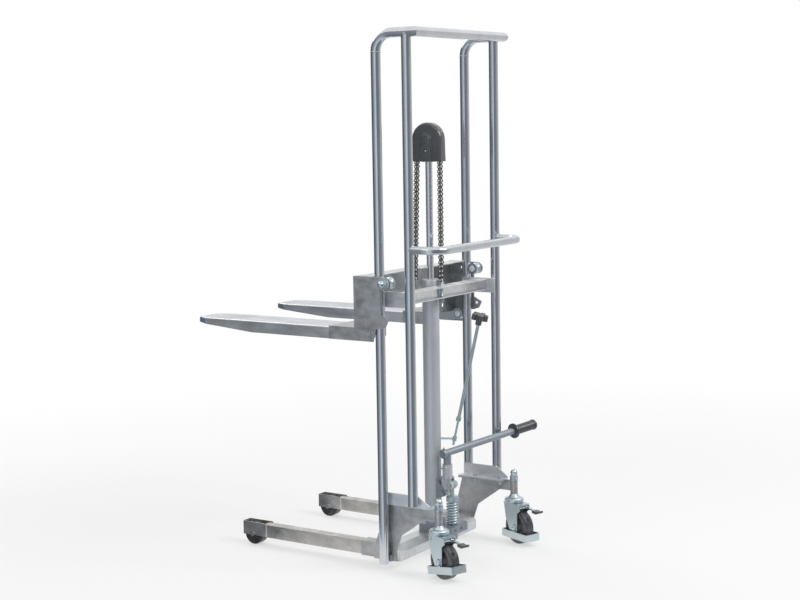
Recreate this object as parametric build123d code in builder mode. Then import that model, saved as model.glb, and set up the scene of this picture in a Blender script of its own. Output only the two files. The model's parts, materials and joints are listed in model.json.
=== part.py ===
import os
from math import asin, atan2, cos, degrees, hypot, pi, radians, sin, sqrt

from build123d import *

os.makedirs("parts", exist_ok=True)

# Hand pumped stacker, millimetres. X is the operator's right, Y points along the forks, Z is up.
# The origin is on the floor, midway between the two front uprights.

# Mast tubes
tube_od = 33.7
tube_wall = 2.6
mast_half = 287.0
mast_depth = 122.0
top_axis_z = 1836.0
elbow_radius = 62.0
cross_back = 36.0
front_foot_z = 23.0
rear_foot_z = 240.0

# Push handle
handle_od = 28.0
handle_wall = 2.5
handle_z = 1115.0
handle_reach = 114.0
handle_bend = 60.0

# Mast bridge
strap_t = 5.0
strap_top_z = 970.0
strap_height = 80.0
strap_overhang = 8.0
channel_height = 40.0
channel_depth = 48.0
channel_t = 4.0
channel_drop = 3.0
weld_half = 6.0

# Foot angles and base plates
deck_z = 229.0
angle_t = 5.0
angle_height = 43.0
angle_width = 45.0
angle_rear_y = -178.0
angle_slant_y = -131.0
angle_tail = 11.0
plate_t = 5.0
plate_flange = 40.0
neck_drop = 39.0
neck_front_y = -150.0
heel_z = 28.0
heel_rear_y = -35.0
heel_front_y = 60.0
heel_height = 34.0
shin_y = -56.0
shin_z = 122.0
toe_y = 31.0
toe_z = 143.0
bolt_d = 10.0
bolt_spots = (-56.0, -162.0)
bolt_clear = 0.5

# Base cross member
cross_top_z = 82.0
cross_rear_y = -48.0
cross_front_y = 20.0
cross_t = 4.0
cross_bevel = 22.0

# Support legs
leg_width = 40.0
leg_low_z = 33.5
leg_height = 47.0
leg_wall = 3.0
leg_root_y = 25.0
leg_front_y = 651.0
sleeve_wall = 3.0
sleeve_front_y = 117.0
head_wall = 3.0
head_height = 49.0
head_low_z = 35.5
head_length = 113.0
head_corner = 8.0
leg_roller_r = 40.0
leg_roller_gap = 1.5
leg_roller_y = 604.0
leg_axle_d = 12.0

# Lift cylinder
ram_y = -23.0
cylinder_od = 60.0
cylinder_bore = 50.0
cylinder_top_z = 941.0
cylinder_floor = 8.0
gland_od = 66.0
gland_height = 46.0
rod_d = 25.0
rod_low_z = 503.0
piston_length = 30.0
bridge_gap = 1.0
run_clear = 0.05

# Pump block, plunger and spring
block_height = 28.0
block_left_x = -45.0
block_right_x = 62.0
block_front_y = 15.0
block_rear_y = -131.0
plug_d = 16.0
plug_stand = 1.5
plug_spots = (-27.0, 15.0)
breather_spot = (-28.0, -85.0)
breather_d = 9.0
breather_top_z = 140.0
pump_y = -103.0
plunger_d = 20.0
barrel_d = 36.0
barrel_depth = 24.0
plunger_low = 15.0
cap_d = 44.0
cap_low_z = 194.0
cap_height = 21.0
nose_d = 14.0
nose_height = 25.0
spring_wire = 5.2
spring_mean_r = 20.2
spring_turns = 8
seat_gap = 0.1
nose_gap = 0.3

# Pump lever
pivot_y = -70.0
pivot_z = 222.0
pivot_d = 14.0
pivot_boss_r = 13.0
lever_roller_r = 15.0
lever_roller_width = 14.6
lever_pin_d = 10.0
lever_cheek = 5.0
lever_gap = 0.7
column_y = -84.0
column_d = 36.0
column_low_z = 276.0
column_top_z = 327.0
neck_d = 20.0
neck_height = 20.0
bracket_t = 5.0
bracket_gap = 1.0
bracket_low = 28.0
bracket_top_z = 276.0
bracket_top_y = -50.0
lever_boss_r = 13.0
lever_boss = 14.0
lever_well_d = 18.0
lever_well = 3.0
lever_bolt_af = 11.0

# Pump bar and grip
bar_d = 25.0
bar_z = 368.0
bar_head_d = 33.0
bar_post_d = 28.0
bar_left = -24.0
bar_collar = -12.0
bar_turn = -16.0
bar_rise = 5.4
grip_start = 330.0
grip_length = 112.0
grip_end = 8.0
grip_d = 35.0
grip_guard_d = 56.0
grip_guard_t = 9.0
swivel_gap = 0.3

# Release rod
release_x = 30.0
release_low_y = -91.2
release_low_z = 392.0
release_tilt = 13.84
release_d = 12.0
release_thin_d = 8.0
release_thin_length = 92.0
release_length = 470.0
collar_d = 18.0
collar_height = 14.0
knob_r = 30.0
knob_height = 22.0
knob_lobes = 5
hub_d = 22.0
guide_up = 24.0
guide_t = 6.0
guide_width = 16.0
guide_bar = 10.0

# Roller chain and its wheel
pitch = 15.875
wheel_teeth = 18
wheel_z = 1478.0
link_end_r = 6.6
link_waist = 4.4
link_t = 2.0
link_inner = 9.4
chain_roller_r = 5.08
chain_pin_r = 2.5
chain_pin_stand = 1.4
tongue_gap = 0.3
rear_links = 31
front_links = 31
front_anchor_y = 42.0
wheel_hub_r = 18.0
wheel_axle_d = 16.0
yoke_half = 22.0
yoke_t = 4.0
yoke_low_z = 1400.0
yoke_base = 16.0
anchor_d = 12.0
anchor_low_z = 845.0
nut_af = 19.0
nut_t = 10.0

# Chain cover
cover_r = 59.5
cover_half = 18.0
cover_wall = 2.5
cover_low_z = 1402.0
tongue_low = 27.0
tongue_top = 18.0
tongue_rise = 2.5
tongue_z = 1480.0
screw_z = 1438.0
screw_well_r = 5.0

# Carriage
side_gap = 4.15
side_t = 6.0
side_front_y = 90.0
side_top_z = 1022.0
side_low_z = 845.0
side_rear_y = -17.0
lobe_r = 21.0
ear_y = -50.0
ear_top_z = 893.0
ear_tip_z = 876.0
ear_low_y = -38.0
ear_hole_y = -29.0
ear_hole_z = 871.0
hole_d = 10.0
front_hole_y = 34.0
beam_height = 80.0
beam_rear_y = 28.0
beam_t = 4.0
beam_notch = 16.0

# Grooved mast rollers
roller_core_r = 16.0
roller_flange_r = 21.0
roller_half = 15.5
roller_pin_d = 14.0
roller_pin_recess = 1.5
acorn_washer_d = 30.0
acorn_washer_t = 3.0
acorn_af = 24.0
acorn_t = 11.0
acorn_r = 10.5
groove_clear = 0.15
upper_roller_z = 1000.0
lower_roller_z = 830.0

# Forks and their carriers
fork_width = 142.0
fork_depth = 42.0
fork_wall = 4.0
fork_root_y = 62.0
fork_tip_y = 803.0
fork_tip_depth = 20.0
fork_taper_y = 545.0
fork_nose_x = 18.0
fork_nose_y = 42.0
carrier_wall = 4.0
carrier_front_y = 201.0
carrier_rear_y = 3.0
carrier_slant = 12.0
carrier_lip = 1.0
shoe_play = 0.3
shoe_lead = 3.0

# Casters
stem_half = 260.0
stem_y = -209.0
stem_d = 16.0
socket_d = 27.0
socket_low_z = 180.0
cup_d = 70.0
cup_low_z = 152.0
cup_rim = 13.0
stem_nut_af = 26.0
stem_nut_t = 19.0
stem_washer_d = 31.0
stem_washer_t = 4.5
stem_cap_d = 26.0
stem_cap_low = 9.0
stem_cap_height = 23.0
caster_turn = -21.0
caster_trail = 30.0
caster_r = 62.5
tyre_width = 36.0
tyre_t = 15.0
tyre_round = 8.0
hub_width = 41.6
hub_ring_t = 5.0
caster_axle_d = 12.0
caster_cheek = 4.0
caster_cheek_gap = 0.2
caster_plate_top_z = 149.0
caster_plate_t = 5.0
caster_plate_front = 33.0
caster_plate_back = 58.0
cheek_rear = 15.0
cheek_toe = 24.0
cheek_low = 18.5
cheek_knee = 14.0
cheek_knee_up = 30.5
rivet_d = 10.0
rivet_head = 3.0
race_gap = 0.3
race_d = 58.0
guard_front = 36.0
guard_back = 107.0
guard_width = 66.0
guard_wall = 3.0
guard_low_z = 22.0
guard_height = 26.0
left_guard_pitch = -10.6
guard_corner = 8.0
brake_pivot = 50.0
brake_pivot_z = 136.0
brake_pin_d = 8.0
brake_length = 80.0
brake_side = 14.0
brake_arm = 10.0
brake_pad_length = 32.0
brake_pad_width = 24.0
brake_pad_t = 8.0

# Sizes that follow from the ones above
tube_r = tube_od / 2
rear_y = -mast_depth
inner_x = mast_half - tube_r
wheel_r = pitch / (2 * sin(pi / wheel_teeth))
gland_top_z = cylinder_top_z + gland_height
channel_front_y = ram_y - gland_od / 2 - bridge_gap
channel_top_z = strap_top_z - channel_drop
rear_strand_y = ram_y - wheel_r
front_strand_y = ram_y + wheel_r
side_inner_x = mast_half + tube_r + side_gap
side_outer_x = side_inner_x + side_t
roller_reach = tube_r + roller_core_r + groove_clear
block_top_z = cross_top_z + block_height
plate_inner_x = stem_half - plate_t / 2
plate_outer_x = stem_half + plate_t / 2
leg_outer_x = plate_inner_x - sleeve_wall + 0.5
leg_inner_x = leg_outer_x - leg_width
leg_mid_x = (leg_outer_x + leg_inner_x) / 2
fork_top_z = side_low_z - carrier_wall
fork_outer_x = side_inner_x + carrier_lip - carrier_wall
fork_inner_x = fork_outer_x - fork_width
lever_roller_y = pump_y - 3.0
nose_top_z = cap_low_z + cap_height + nose_height
lever_roller_z = nose_top_z + nose_gap + lever_roller_r
link_half = link_inner / 2
outer_link_x = link_half + link_t


def save(shape, name):
    shape.label = name
    export_step(shape, f"parts/{name}.step")


def low(s, a, b):
    return min(s * a, s * b)


def outline(plane, points):
    with BuildSketch(plane) as face:
        with BuildLine():
            Polyline(*points, close=True)
        make_face()
    return face.sketch


def hexagon(plane, at, flats):
    with BuildSketch(plane) as face:
        with Locations(at):
            RegularPolygon(flats / 2, 6, major_radius=False)
    return face.sketch


def slab(xs, ys, zs, mode=Mode.ADD):
    with Locations(((xs[0] + xs[1]) / 2, (ys[0] + ys[1]) / 2, (zs[0] + zs[1]) / 2)):
        Box(abs(xs[1] - xs[0]), abs(ys[1] - ys[0]), abs(zs[1] - zs[0]), mode=mode)


def bar_x(r, xs, y, z, mode=Mode.ADD):
    with Locations(Location(((xs[0] + xs[1]) / 2, y, z), (0, 90, 0))):
        Cylinder(r, abs(xs[1] - xs[0]), mode=mode)


def bar_y_axis(r, x, ys, z, mode=Mode.ADD):
    with Locations(Location((x, (ys[0] + ys[1]) / 2, z), (90, 0, 0))):
        Cylinder(r, abs(ys[1] - ys[0]), mode=mode)


def post(r, x, y, zs, mode=Mode.ADD):
    with Locations((x, y, (zs[0] + zs[1]) / 2)):
        Cylinder(r, abs(zs[1] - zs[0]), mode=mode)


sides = (("left", -1), ("right", 1))

# Front and rear uprights
for side, s in sides:
    with BuildPart() as upright:
        post(tube_r, s * mast_half, 0, (front_foot_z, top_axis_z - elbow_radius))
        post(tube_r - tube_wall, s * mast_half, 0, (front_foot_z, top_axis_z - elbow_radius), Mode.SUBTRACT)
    save(upright.part, f"{side}_front_upright")

    with BuildPart() as rear_post:
        post(tube_r, s * mast_half, rear_y, (rear_foot_z, top_axis_z))
        post(tube_r - tube_wall, s * mast_half, rear_y, (rear_foot_z, top_axis_z), Mode.SUBTRACT)
        bar_y_axis(tube_r, s * mast_half, (rear_y - tube_od, rear_y + tube_od), top_axis_z, Mode.SUBTRACT)
    save(rear_post.part, f"{side}_rear_upright")

# Top frame, two elbows and a cross tube with mitred corners
top_corner_y = rear_y - cross_back
with BuildPart() as top_frame:
    with BuildLine() as top_path:
        ThreePointArc(
            (-mast_half, 0, top_axis_z - elbow_radius),
            (-mast_half, -elbow_radius * (1 - cos(pi / 4)), top_axis_z - elbow_radius * (1 - sin(pi / 4))),
            (-mast_half, -elbow_radius, top_axis_z),
        )
        Line((-mast_half, -elbow_radius, top_axis_z), (-mast_half, top_corner_y, top_axis_z))
        Line((-mast_half, top_corner_y, top_axis_z), (mast_half, top_corner_y, top_axis_z))
        Line((mast_half, top_corner_y, top_axis_z), (mast_half, -elbow_radius, top_axis_z))
        ThreePointArc(
            (mast_half, -elbow_radius, top_axis_z),
            (mast_half, -elbow_radius * (1 - cos(pi / 4)), top_axis_z - elbow_radius * (1 - sin(pi / 4))),
            (mast_half, 0, top_axis_z - elbow_radius),
        )
    with BuildSketch(Plane((-mast_half, 0, top_axis_z - elbow_radius))):
        Circle(tube_r)
        Circle(tube_r - tube_wall, mode=Mode.SUBTRACT)
    sweep(transition=Transition.RIGHT)
save(top_frame.part, "top_frame")

# Push handle, coped on to the rear uprights
handle_y = rear_y - handle_reach
with BuildPart() as push_handle:
    with BuildLine() as handle_path:
        FilletPolyline(
            (-mast_half, rear_y, handle_z),
            (-mast_half, handle_y, handle_z),
            (mast_half, handle_y, handle_z),
            (mast_half, rear_y, handle_z),
            radius=handle_bend,
        )
    with BuildSketch(Plane((-mast_half, rear_y, handle_z), z_dir=(0, -1, 0))):
        Circle(handle_od / 2)
        Circle(handle_od / 2 - handle_wall, mode=Mode.SUBTRACT)
    sweep()
    for side, s in sides:
        post(tube_r, s * mast_half, rear_y, (handle_z - handle_od, handle_z + handle_od), Mode.SUBTRACT)
save(push_handle.part, "push_handle")

# Mast bridge, side straps and a channel that opens to the rear
strap_low_z = strap_top_z - strap_height
channel_rear_y = channel_front_y - channel_depth
with BuildPart() as mast_bridge:
    for side, s in sides:
        strap_x = (s * (inner_x - strap_t), s * inner_x)
        slab(strap_x, (rear_y - strap_overhang, strap_overhang), (strap_low_z, strap_top_z))
        for weld_y in (0, rear_y):
            weld_x = (s * inner_x, s * (inner_x + tube_r - sqrt(tube_r**2 - weld_half**2)))
            slab(weld_x, (weld_y - weld_half, weld_y + weld_half), (strap_low_z + 2, strap_top_z - 2))
            post(tube_r, s * mast_half, weld_y, (strap_low_z, strap_top_z), Mode.SUBTRACT)
    with BuildSketch(Plane.YZ.offset(strap_t - inner_x)):
        with Locations(((channel_front_y + channel_rear_y) / 2, channel_top_z - channel_height / 2)):
            Rectangle(channel_depth, channel_height)
        channel_mid_y = (channel_front_y + channel_rear_y) / 2
        with Locations((channel_mid_y - channel_t, channel_top_z - channel_height / 2)):
            Rectangle(channel_depth, channel_height - 2 * channel_t, mode=Mode.SUBTRACT)
    extrude(amount=2 * (inner_x - strap_t))
    post(
        anchor_d / 2 + bolt_clear,
        0,
        rear_strand_y,
        (channel_top_z - channel_height - 1, channel_top_z + 1),
        Mode.SUBTRACT,
    )
save(mast_bridge.part, "mast_bridge")

# Foot angles and base plates
angle_top_z = deck_z + angle_height
flange_inner_x = plate_outer_x - plate_flange
bolt_x = (flange_inner_x + plate_inner_x) / 2
neck_low_z = deck_z - neck_drop
neck_rear_y = stem_y + socket_d / 4
for side, s in sides:
    with BuildPart() as foot_angle:
        extrude(
            outline(
                Plane.YZ.offset(low(s, inner_x - angle_t, inner_x)),
                [
                    (strap_overhang, deck_z),
                    (strap_overhang, angle_top_z),
                    (angle_slant_y, angle_top_z),
                    (angle_rear_y, deck_z + angle_tail),
                    (angle_rear_y, deck_z),
                ],
            ),
            amount=angle_t,
        )
        slab(
            (s * (inner_x - angle_width), s * inner_x),
            (angle_rear_y, strap_overhang),
            (deck_z, deck_z + angle_t),
        )
        for weld_y in (0, rear_y):
            weld_x = (s * inner_x, s * (inner_x + tube_r - sqrt(tube_r**2 - weld_half**2)))
            slab(weld_x, (weld_y - weld_half, weld_y + weld_half), (rear_foot_z + 2, angle_top_z - 2))
            post(tube_r, s * mast_half, weld_y, (deck_z, angle_top_z), Mode.SUBTRACT)
        for y in bolt_spots:
            post(bolt_d / 2 + bolt_clear, s * bolt_x, y, (deck_z - 1, deck_z + angle_t + 1), Mode.SUBTRACT)
    save(foot_angle.part, f"{side}_foot_angle")

    with BuildPart() as base_plate:
        with BuildSketch(Plane.YZ.offset(low(s, plate_inner_x, plate_outer_x))):
            with BuildLine():
                Polyline(
                    (strap_overhang, deck_z),
                    (neck_rear_y, deck_z),
                    (neck_rear_y, neck_low_z),
                    (neck_front_y, neck_low_z),
                    (shin_y, shin_z),
                    (heel_rear_y, heel_z + heel_height),
                    (heel_rear_y, heel_z),
                    (heel_front_y, heel_z),
                    (heel_front_y, heel_z + heel_height),
                    (toe_y, toe_z),
                    close=True,
                )
            make_face()
        extrude(amount=plate_t)
        slab(
            (s * flange_inner_x, s * plate_outer_x),
            (angle_rear_y, strap_overhang),
            (deck_z - plate_t, deck_z),
        )
        for y in bolt_spots:
            post(bolt_d / 2 + bolt_clear, s * bolt_x, y, (deck_z - plate_t - 1, deck_z + 1), Mode.SUBTRACT)
        slab(
            (s * (leg_inner_x - sleeve_wall), s * (leg_outer_x + sleeve_wall)),
            (leg_root_y - sleeve_wall, sleeve_front_y),
            (leg_low_z - sleeve_wall, leg_low_z + leg_height + sleeve_wall),
        )
        slab(
            (s * leg_inner_x, s * leg_outer_x),
            (leg_root_y, sleeve_front_y),
            (leg_low_z, leg_low_z + leg_height),
            Mode.SUBTRACT,
        )
        slab((s * plate_outer_x, s * (inner_x + 1)), (-20, 12), (heel_z, heel_z + 24))
        post(tube_r, s * mast_half, 0, (heel_z, deck_z), Mode.SUBTRACT)
        post(socket_d / 2, s * stem_half, stem_y, (socket_low_z, deck_z))
        post(stem_d / 2 + run_clear, s * stem_half, stem_y, (socket_low_z, deck_z), Mode.SUBTRACT)
    save(base_plate.part, f"{side}_base_plate")

# Foot bolts with their nuts
with BuildPart() as foot_bolts:
    for side, s in sides:
        for y in bolt_spots:
            head_z = deck_z + angle_t
            post(bolt_d / 2, s * bolt_x, y, (deck_z - plate_t - bolt_d - 2, head_z))
            extrude(hexagon(Plane.XY.offset(head_z), (s * bolt_x, y), bolt_d * 1.6), amount=bolt_d * 0.6)
            nut_z = deck_z - plate_t - bolt_d * 0.8
            extrude(hexagon(Plane.XY.offset(nut_z), (s * bolt_x, y), bolt_d * 1.6), amount=bolt_d * 0.8)
save(foot_bolts.part, "foot_bolts")

# Base cross member, a channel that opens to the front, its upper rear edge folded on the slant
fold = cross_t * (sqrt(2) - 1)
with BuildPart() as base_cross_member:
    face = Plane.YZ.offset(-plate_inner_x)
    extrude(
        outline(
            face,
            [
                (cross_front_y, heel_z),
                (cross_front_y, cross_top_z),
                (cross_rear_y + cross_bevel, cross_top_z),
                (cross_rear_y, cross_top_z - cross_bevel),
                (cross_rear_y, heel_z),
            ],
        ),
        amount=2 * plate_inner_x,
    )
    extrude(
        outline(
            face,
            [
                (cross_front_y + 1, heel_z + cross_t),
                (cross_front_y + 1, cross_top_z - cross_t),
                (cross_rear_y + cross_bevel + fold, cross_top_z - cross_t),
                (cross_rear_y + cross_t, cross_top_z - cross_bevel - fold),
                (cross_rear_y + cross_t, heel_z + cross_t),
            ],
        ),
        amount=2 * plate_inner_x,
        mode=Mode.SUBTRACT,
    )
save(base_cross_member.part, "base_cross_member")

# Support legs with forked heads, and their rollers
leg_tube_end_y = leg_roller_y - leg_roller_r - 8
for side, s in sides:
    with BuildPart() as leg:
        with BuildSketch(Plane.XZ.offset(-leg_root_y)):
            with Locations((s * leg_mid_x, leg_low_z + leg_height / 2)):
                Rectangle(leg_width, leg_height)
                Rectangle(leg_width - 2 * leg_wall, leg_height - 2 * leg_wall, mode=Mode.SUBTRACT)
        extrude(amount=leg_root_y - leg_tube_end_y)
        with BuildSketch(Plane.XY.offset(head_low_z)):
            with Locations((s * leg_mid_x, leg_front_y - head_length / 2)):
                RectangleRounded(leg_width + 2 * head_wall, head_length, head_corner)
            with Locations((s * leg_mid_x, leg_front_y - head_length / 2 - head_wall)):
                Rectangle(leg_width, head_length, mode=Mode.SUBTRACT)
        extrude(amount=head_height)
        pin_reach = leg_width / 2 + head_wall + 2
        pin_x = (s * leg_mid_x - pin_reach, s * leg_mid_x + pin_reach)
        bar_x(leg_axle_d / 2, pin_x, leg_roller_y, leg_roller_r)
        for end in (-1, 1):
            bar_x(
                leg_axle_d * 0.75,
                (s * leg_mid_x + end * (pin_reach - 2), s * leg_mid_x + end * pin_reach),
                leg_roller_y,
                leg_roller_r,
            )
    save(leg.part, f"{side}_leg")

    with BuildPart() as leg_roller:
        half = leg_width / 2 - leg_roller_gap
        with BuildSketch(Plane.XY):
            with Locations((s * leg_mid_x, leg_roller_y + leg_roller_r / 2)):
                Rectangle(2 * half, leg_roller_r)
            chamfer(vertices().group_by(Axis.Y)[-1], 3)
        revolve(axis=Axis((0, leg_roller_y, 0), (1, 0, 0)))
        bar_x(
            leg_axle_d / 2 + run_clear,
            (s * leg_mid_x - half, s * leg_mid_x + half),
            leg_roller_y,
            0,
            Mode.SUBTRACT,
        )
    save(leg_roller.part.moved(Location((0, 0, leg_roller_r))), f"{side}_leg_roller")

# Lift cylinder with its gland
with BuildPart() as lift_cylinder:
    with BuildSketch(Plane.XZ):
        with BuildLine():
            Polyline(
                (0, block_top_z),
                (cylinder_od / 2, block_top_z),
                (cylinder_od / 2, cylinder_top_z),
                (gland_od / 2, cylinder_top_z),
                (gland_od / 2, gland_top_z - 8),
                (gland_od / 2 - 6, gland_top_z),
                (rod_d / 2 + run_clear, gland_top_z),
                (rod_d / 2 + run_clear, cylinder_top_z),
                (cylinder_bore / 2, cylinder_top_z),
                (cylinder_bore / 2, block_top_z + cylinder_floor),
                (0, block_top_z + cylinder_floor),
                close=True,
            )
        make_face()
    revolve(axis=Axis.Z)
save(lift_cylinder.part.moved(Location((0, ram_y, 0))), "lift_cylinder")

# Pump block with its barrel and plugs
barrel_low_z = cross_top_z - barrel_depth
with BuildPart() as pump_block:
    slab((block_left_x, block_right_x), (block_rear_y, block_front_y), (cross_top_z, block_top_z))
    chamfer(pump_block.edges().filter_by(Axis.Z), 6)
    post(barrel_d / 2, 0, pump_y, (barrel_low_z, cross_top_z))
    post(plunger_d / 2 + run_clear, 0, pump_y, (barrel_low_z + 5, block_top_z), Mode.SUBTRACT)
    breather_z = breather_top_z - breather_d / 2
    post(breather_d / 2, *breather_spot, (block_top_z, breather_z))
    with Locations((*breather_spot, breather_z)):
        Sphere(breather_d / 2)
    plug_z = (cross_top_z + block_top_z) / 2
    for x in plug_spots:
        bar_y_axis(plug_d / 2, x, (block_rear_y - plug_stand, block_rear_y), plug_z)
        extrude(
            hexagon(Plane.XZ.offset(-block_rear_y - 4), (x, plug_z), plug_d / 2),
            amount=4 + plug_stand,
            mode=Mode.SUBTRACT,
        )
save(pump_block.part, "pump_block")

# Plunger with its spring cap
with BuildPart() as plunger:
    post(plunger_d / 2, 0, pump_y, (block_top_z - plunger_low, cap_low_z))
    post(cap_d / 2, 0, pump_y, (cap_low_z, cap_low_z + cap_height * 0.8))
    post(cap_d / 2 - 4, 0, pump_y, (cap_low_z, cap_low_z + cap_height))
    post(nose_d / 2, 0, pump_y, (cap_low_z, nose_top_z))
save(plunger.part, "pump_plunger")


# Pump spring, one wire in quarter turns, each a pair of tangent arcs
def coil_point(turn, start_z, rise):
    a = 2 * pi * turn
    return Vector(spring_mean_r * cos(a), pump_y + spring_mean_r * sin(a), start_z + rise * turn)


def coil_tangent(turn, rise):
    a = 2 * pi * turn
    return Vector(-spring_mean_r * sin(a), spring_mean_r * cos(a), rise / (2 * pi)).normalized()


spring_low_z = block_top_z + spring_wire / 2 + seat_gap
spring_high_z = cap_low_z - spring_wire / 2 - seat_gap
lean = 0.4
spring_rise = (spring_high_z - spring_low_z - 2 * lean) / spring_turns
with BuildPart() as pump_spring:
    with BuildLine() as wire_path:
        first = coil_point(0, spring_low_z + lean, spring_rise)
        first_way = coil_tangent(0, spring_rise)
        Line(first - first_way * spring_wire, first)
        for quarter in range(4 * spring_turns):
            p0 = coil_point(quarter / 4, spring_low_z + lean, spring_rise)
            p1 = coil_point((quarter + 1) / 4, spring_low_z + lean, spring_rise)
            t0 = coil_tangent(quarter / 4, spring_rise)
            t1 = coil_tangent((quarter + 1) / 4, spring_rise)
            v = p1 - p0
            a = 2 * (1 - t0.dot(t1))
            b = 2 * v.dot(t0 + t1)
            reach = (-b + sqrt(b * b + 4 * a * v.dot(v))) / (2 * a)
            meet = (p0 + t0 * reach + p1 - t1 * reach) * 0.5
            across = (p1 - t1 * reach - p0 - t0 * reach).normalized()
            TangentArc(p0, meet, tangent=t0)
            TangentArc(meet, p1, tangent=across)
        last = coil_point(spring_turns, spring_low_z + lean, spring_rise)
        last_way = coil_tangent(spring_turns, spring_rise)
        Line(last, last + last_way * spring_wire)
    with BuildSketch(Plane(first - first_way * spring_wire, z_dir=first_way)):
        Circle(spring_wire / 2)
    sweep()
save(pump_spring.part, "pump_spring")

# The least gap between turns of the spring, measured on points of its middle line
coil_points = [coil_point(i / 48, spring_low_z, spring_rise) for i in range(48 * spring_turns + 1)]
least_gap = min(
    (coil_points[i] - coil_points[j]).length - spring_wire
    for i in range(0, len(coil_points), 4)
    for j in range(i + 24, len(coil_points))
)
print(f"least gap in the pump spring {least_gap:.2f} mm")

# Lever bracket on the cylinder, two cheeks with the lever's pin
tilt = radians(release_tilt)
guide_at = Vector(release_x, release_low_y - guide_up * sin(tilt), release_low_z + guide_up * cos(tilt))
release_way = (0, -sin(tilt), cos(tilt))
lever_half = lever_roller_width / 2 + lever_gap + lever_cheek
bracket_x = lever_half + bracket_gap
with BuildPart() as lever_bracket:
    for side, s in sides:
        extrude(
            outline(
                Plane.YZ.offset(low(s, bracket_x, bracket_x + bracket_t)),
                [
                    (ram_y, pivot_z - bracket_low),
                    (ram_y, bracket_top_z),
                    (bracket_top_y + 4, bracket_top_z),
                    (bracket_top_y, bracket_top_z - 3),
                    (pivot_y - pivot_boss_r * 0.5, pivot_z + pivot_boss_r * 0.87),
                    (pivot_y - pivot_boss_r * 0.87, pivot_z + pivot_boss_r * 0.5),
                    (pivot_y - pivot_boss_r, pivot_z),
                    (pivot_y - pivot_boss_r * 0.7, pivot_z - pivot_boss_r * 0.7),
                    (pivot_y, pivot_z - pivot_boss_r),
                ],
            ),
            amount=bracket_t,
        )
    pin_end = bracket_x + bracket_t
    bar_x(pivot_d / 2, (-pin_end, pin_end), pivot_y, pivot_z)
    for side, s in sides:
        extrude(
            hexagon(Plane.YZ.offset(low(s, pin_end, pin_end + 7)), (pivot_y, pivot_z), pivot_d * 1.5),
            amount=7,
        )
    post(cylinder_od / 2, 0, ram_y, (block_top_z, cylinder_top_z), Mode.SUBTRACT)
save(lever_bracket.part, "lever_bracket")

# Guide arm of the release rod, an eye on a flat bar from the cylinder
with BuildPart() as release_guide:
    with Locations(Plane(guide_at, z_dir=release_way).location):
        Cylinder(release_thin_d, guide_width)
    guide_way = Vector(guide_at.X, guide_at.Y - ram_y, 0)
    guide_turn = degrees(atan2(guide_way.Y, guide_way.X))
    with Locations(Location((guide_at.X / 2, (guide_at.Y + ram_y) / 2, guide_at.Z), (0, 0, guide_turn))):
        Box(guide_way.length, guide_bar, guide_t)
    with Locations(Plane(guide_at, z_dir=release_way).location):
        Cylinder(release_thin_d / 2 + run_clear, 4 * guide_width, mode=Mode.SUBTRACT)
    post(cylinder_od / 2, 0, ram_y, (block_top_z, cylinder_top_z), Mode.SUBTRACT)
save(release_guide.part, "release_guide")

# Pump lever, two cheeks, the swivel column and the roller's pin
with BuildPart() as pump_lever:
    cheek_inner = lever_roller_width / 2 + lever_gap
    for side, s in sides:
        with BuildSketch(Plane.YZ.offset(low(s, cheek_inner, lever_half))):
            with BuildLine():
                Polyline(
                    (pivot_y + 5, pivot_z),
                    (column_y + column_d / 2 - 1, column_low_z + 8),
                    (column_y - column_d / 2, column_low_z + 8),
                    (lever_roller_y - 4, lever_roller_z),
                    (lever_roller_y, lever_roller_z - lever_pin_d * 0.8),
                    close=True,
                )
            make_face()
            with Locations((pivot_y, pivot_z)):
                Circle(pivot_boss_r)
            with Locations((lever_roller_y, lever_roller_z)):
                Circle(lever_boss_r)
        extrude(amount=lever_cheek)
    bar_x(pivot_boss_r, (-lever_half, lever_half), pivot_y, pivot_z)
    bar_x(pivot_d / 2 + run_clear, (-lever_half, lever_half), pivot_y, pivot_z, Mode.SUBTRACT)
    bar_x(lever_pin_d / 2, (-lever_half, lever_half), lever_roller_y, lever_roller_z)
    boss_end = -lever_half - lever_boss
    well_end = boss_end + lever_well
    bar_x(lever_boss_r, (boss_end, -lever_half), lever_roller_y, lever_roller_z)
    bar_x(lever_well_d / 2, (boss_end, well_end), lever_roller_y, lever_roller_z, Mode.SUBTRACT)
    extrude(
        hexagon(Plane.YZ.offset(boss_end + 0.5), (lever_roller_y, lever_roller_z), lever_bolt_af),
        amount=lever_well - 0.5,
    )
    post(column_d / 2, 0, column_y, (column_low_z, column_top_z))
    post(neck_d / 2, 0, column_y, (column_top_z, column_top_z + neck_height))
save(pump_lever.part, "pump_lever")

with BuildPart() as lever_roller:
    roller_x = (-lever_roller_width / 2, lever_roller_width / 2)
    bar_x(lever_roller_r, roller_x, lever_roller_y, lever_roller_z)
    bar_x(lever_pin_d / 2 + run_clear, roller_x, lever_roller_y, lever_roller_z, Mode.SUBTRACT)
save(lever_roller.part, "lever_roller")

# Pump bar with its swivel head, and the grip, built at the neck and then turned to how the bar stands
bar_socket_z = column_top_z + swivel_gap
bar_frame = Location((0, 0, bar_z), (0, -bar_rise, 0))
bar_place = Location((0, column_y, 0), (0, 0, bar_turn))
with BuildPart() as pump_bar:
    post(bar_post_d / 2, 0, 0, (bar_socket_z, bar_z))
    with Locations(bar_frame * Location(((bar_left + bar_collar) / 2, 0, 0), (0, 90, 0))):
        Cylinder(bar_head_d / 2, bar_collar - bar_left)
    bar_end = grip_start + grip_length - grip_end
    with Locations(bar_frame * Location(((bar_collar + bar_end) / 2, 0, 0), (0, 90, 0))):
        Cylinder(bar_d / 2, bar_end - bar_collar)
    neck_top_z = column_top_z + neck_height + swivel_gap
    post(neck_d / 2 + run_clear, 0, 0, (bar_socket_z - 1, neck_top_z), Mode.SUBTRACT)
save(pump_bar.part.moved(bar_place), "pump_bar")

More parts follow.
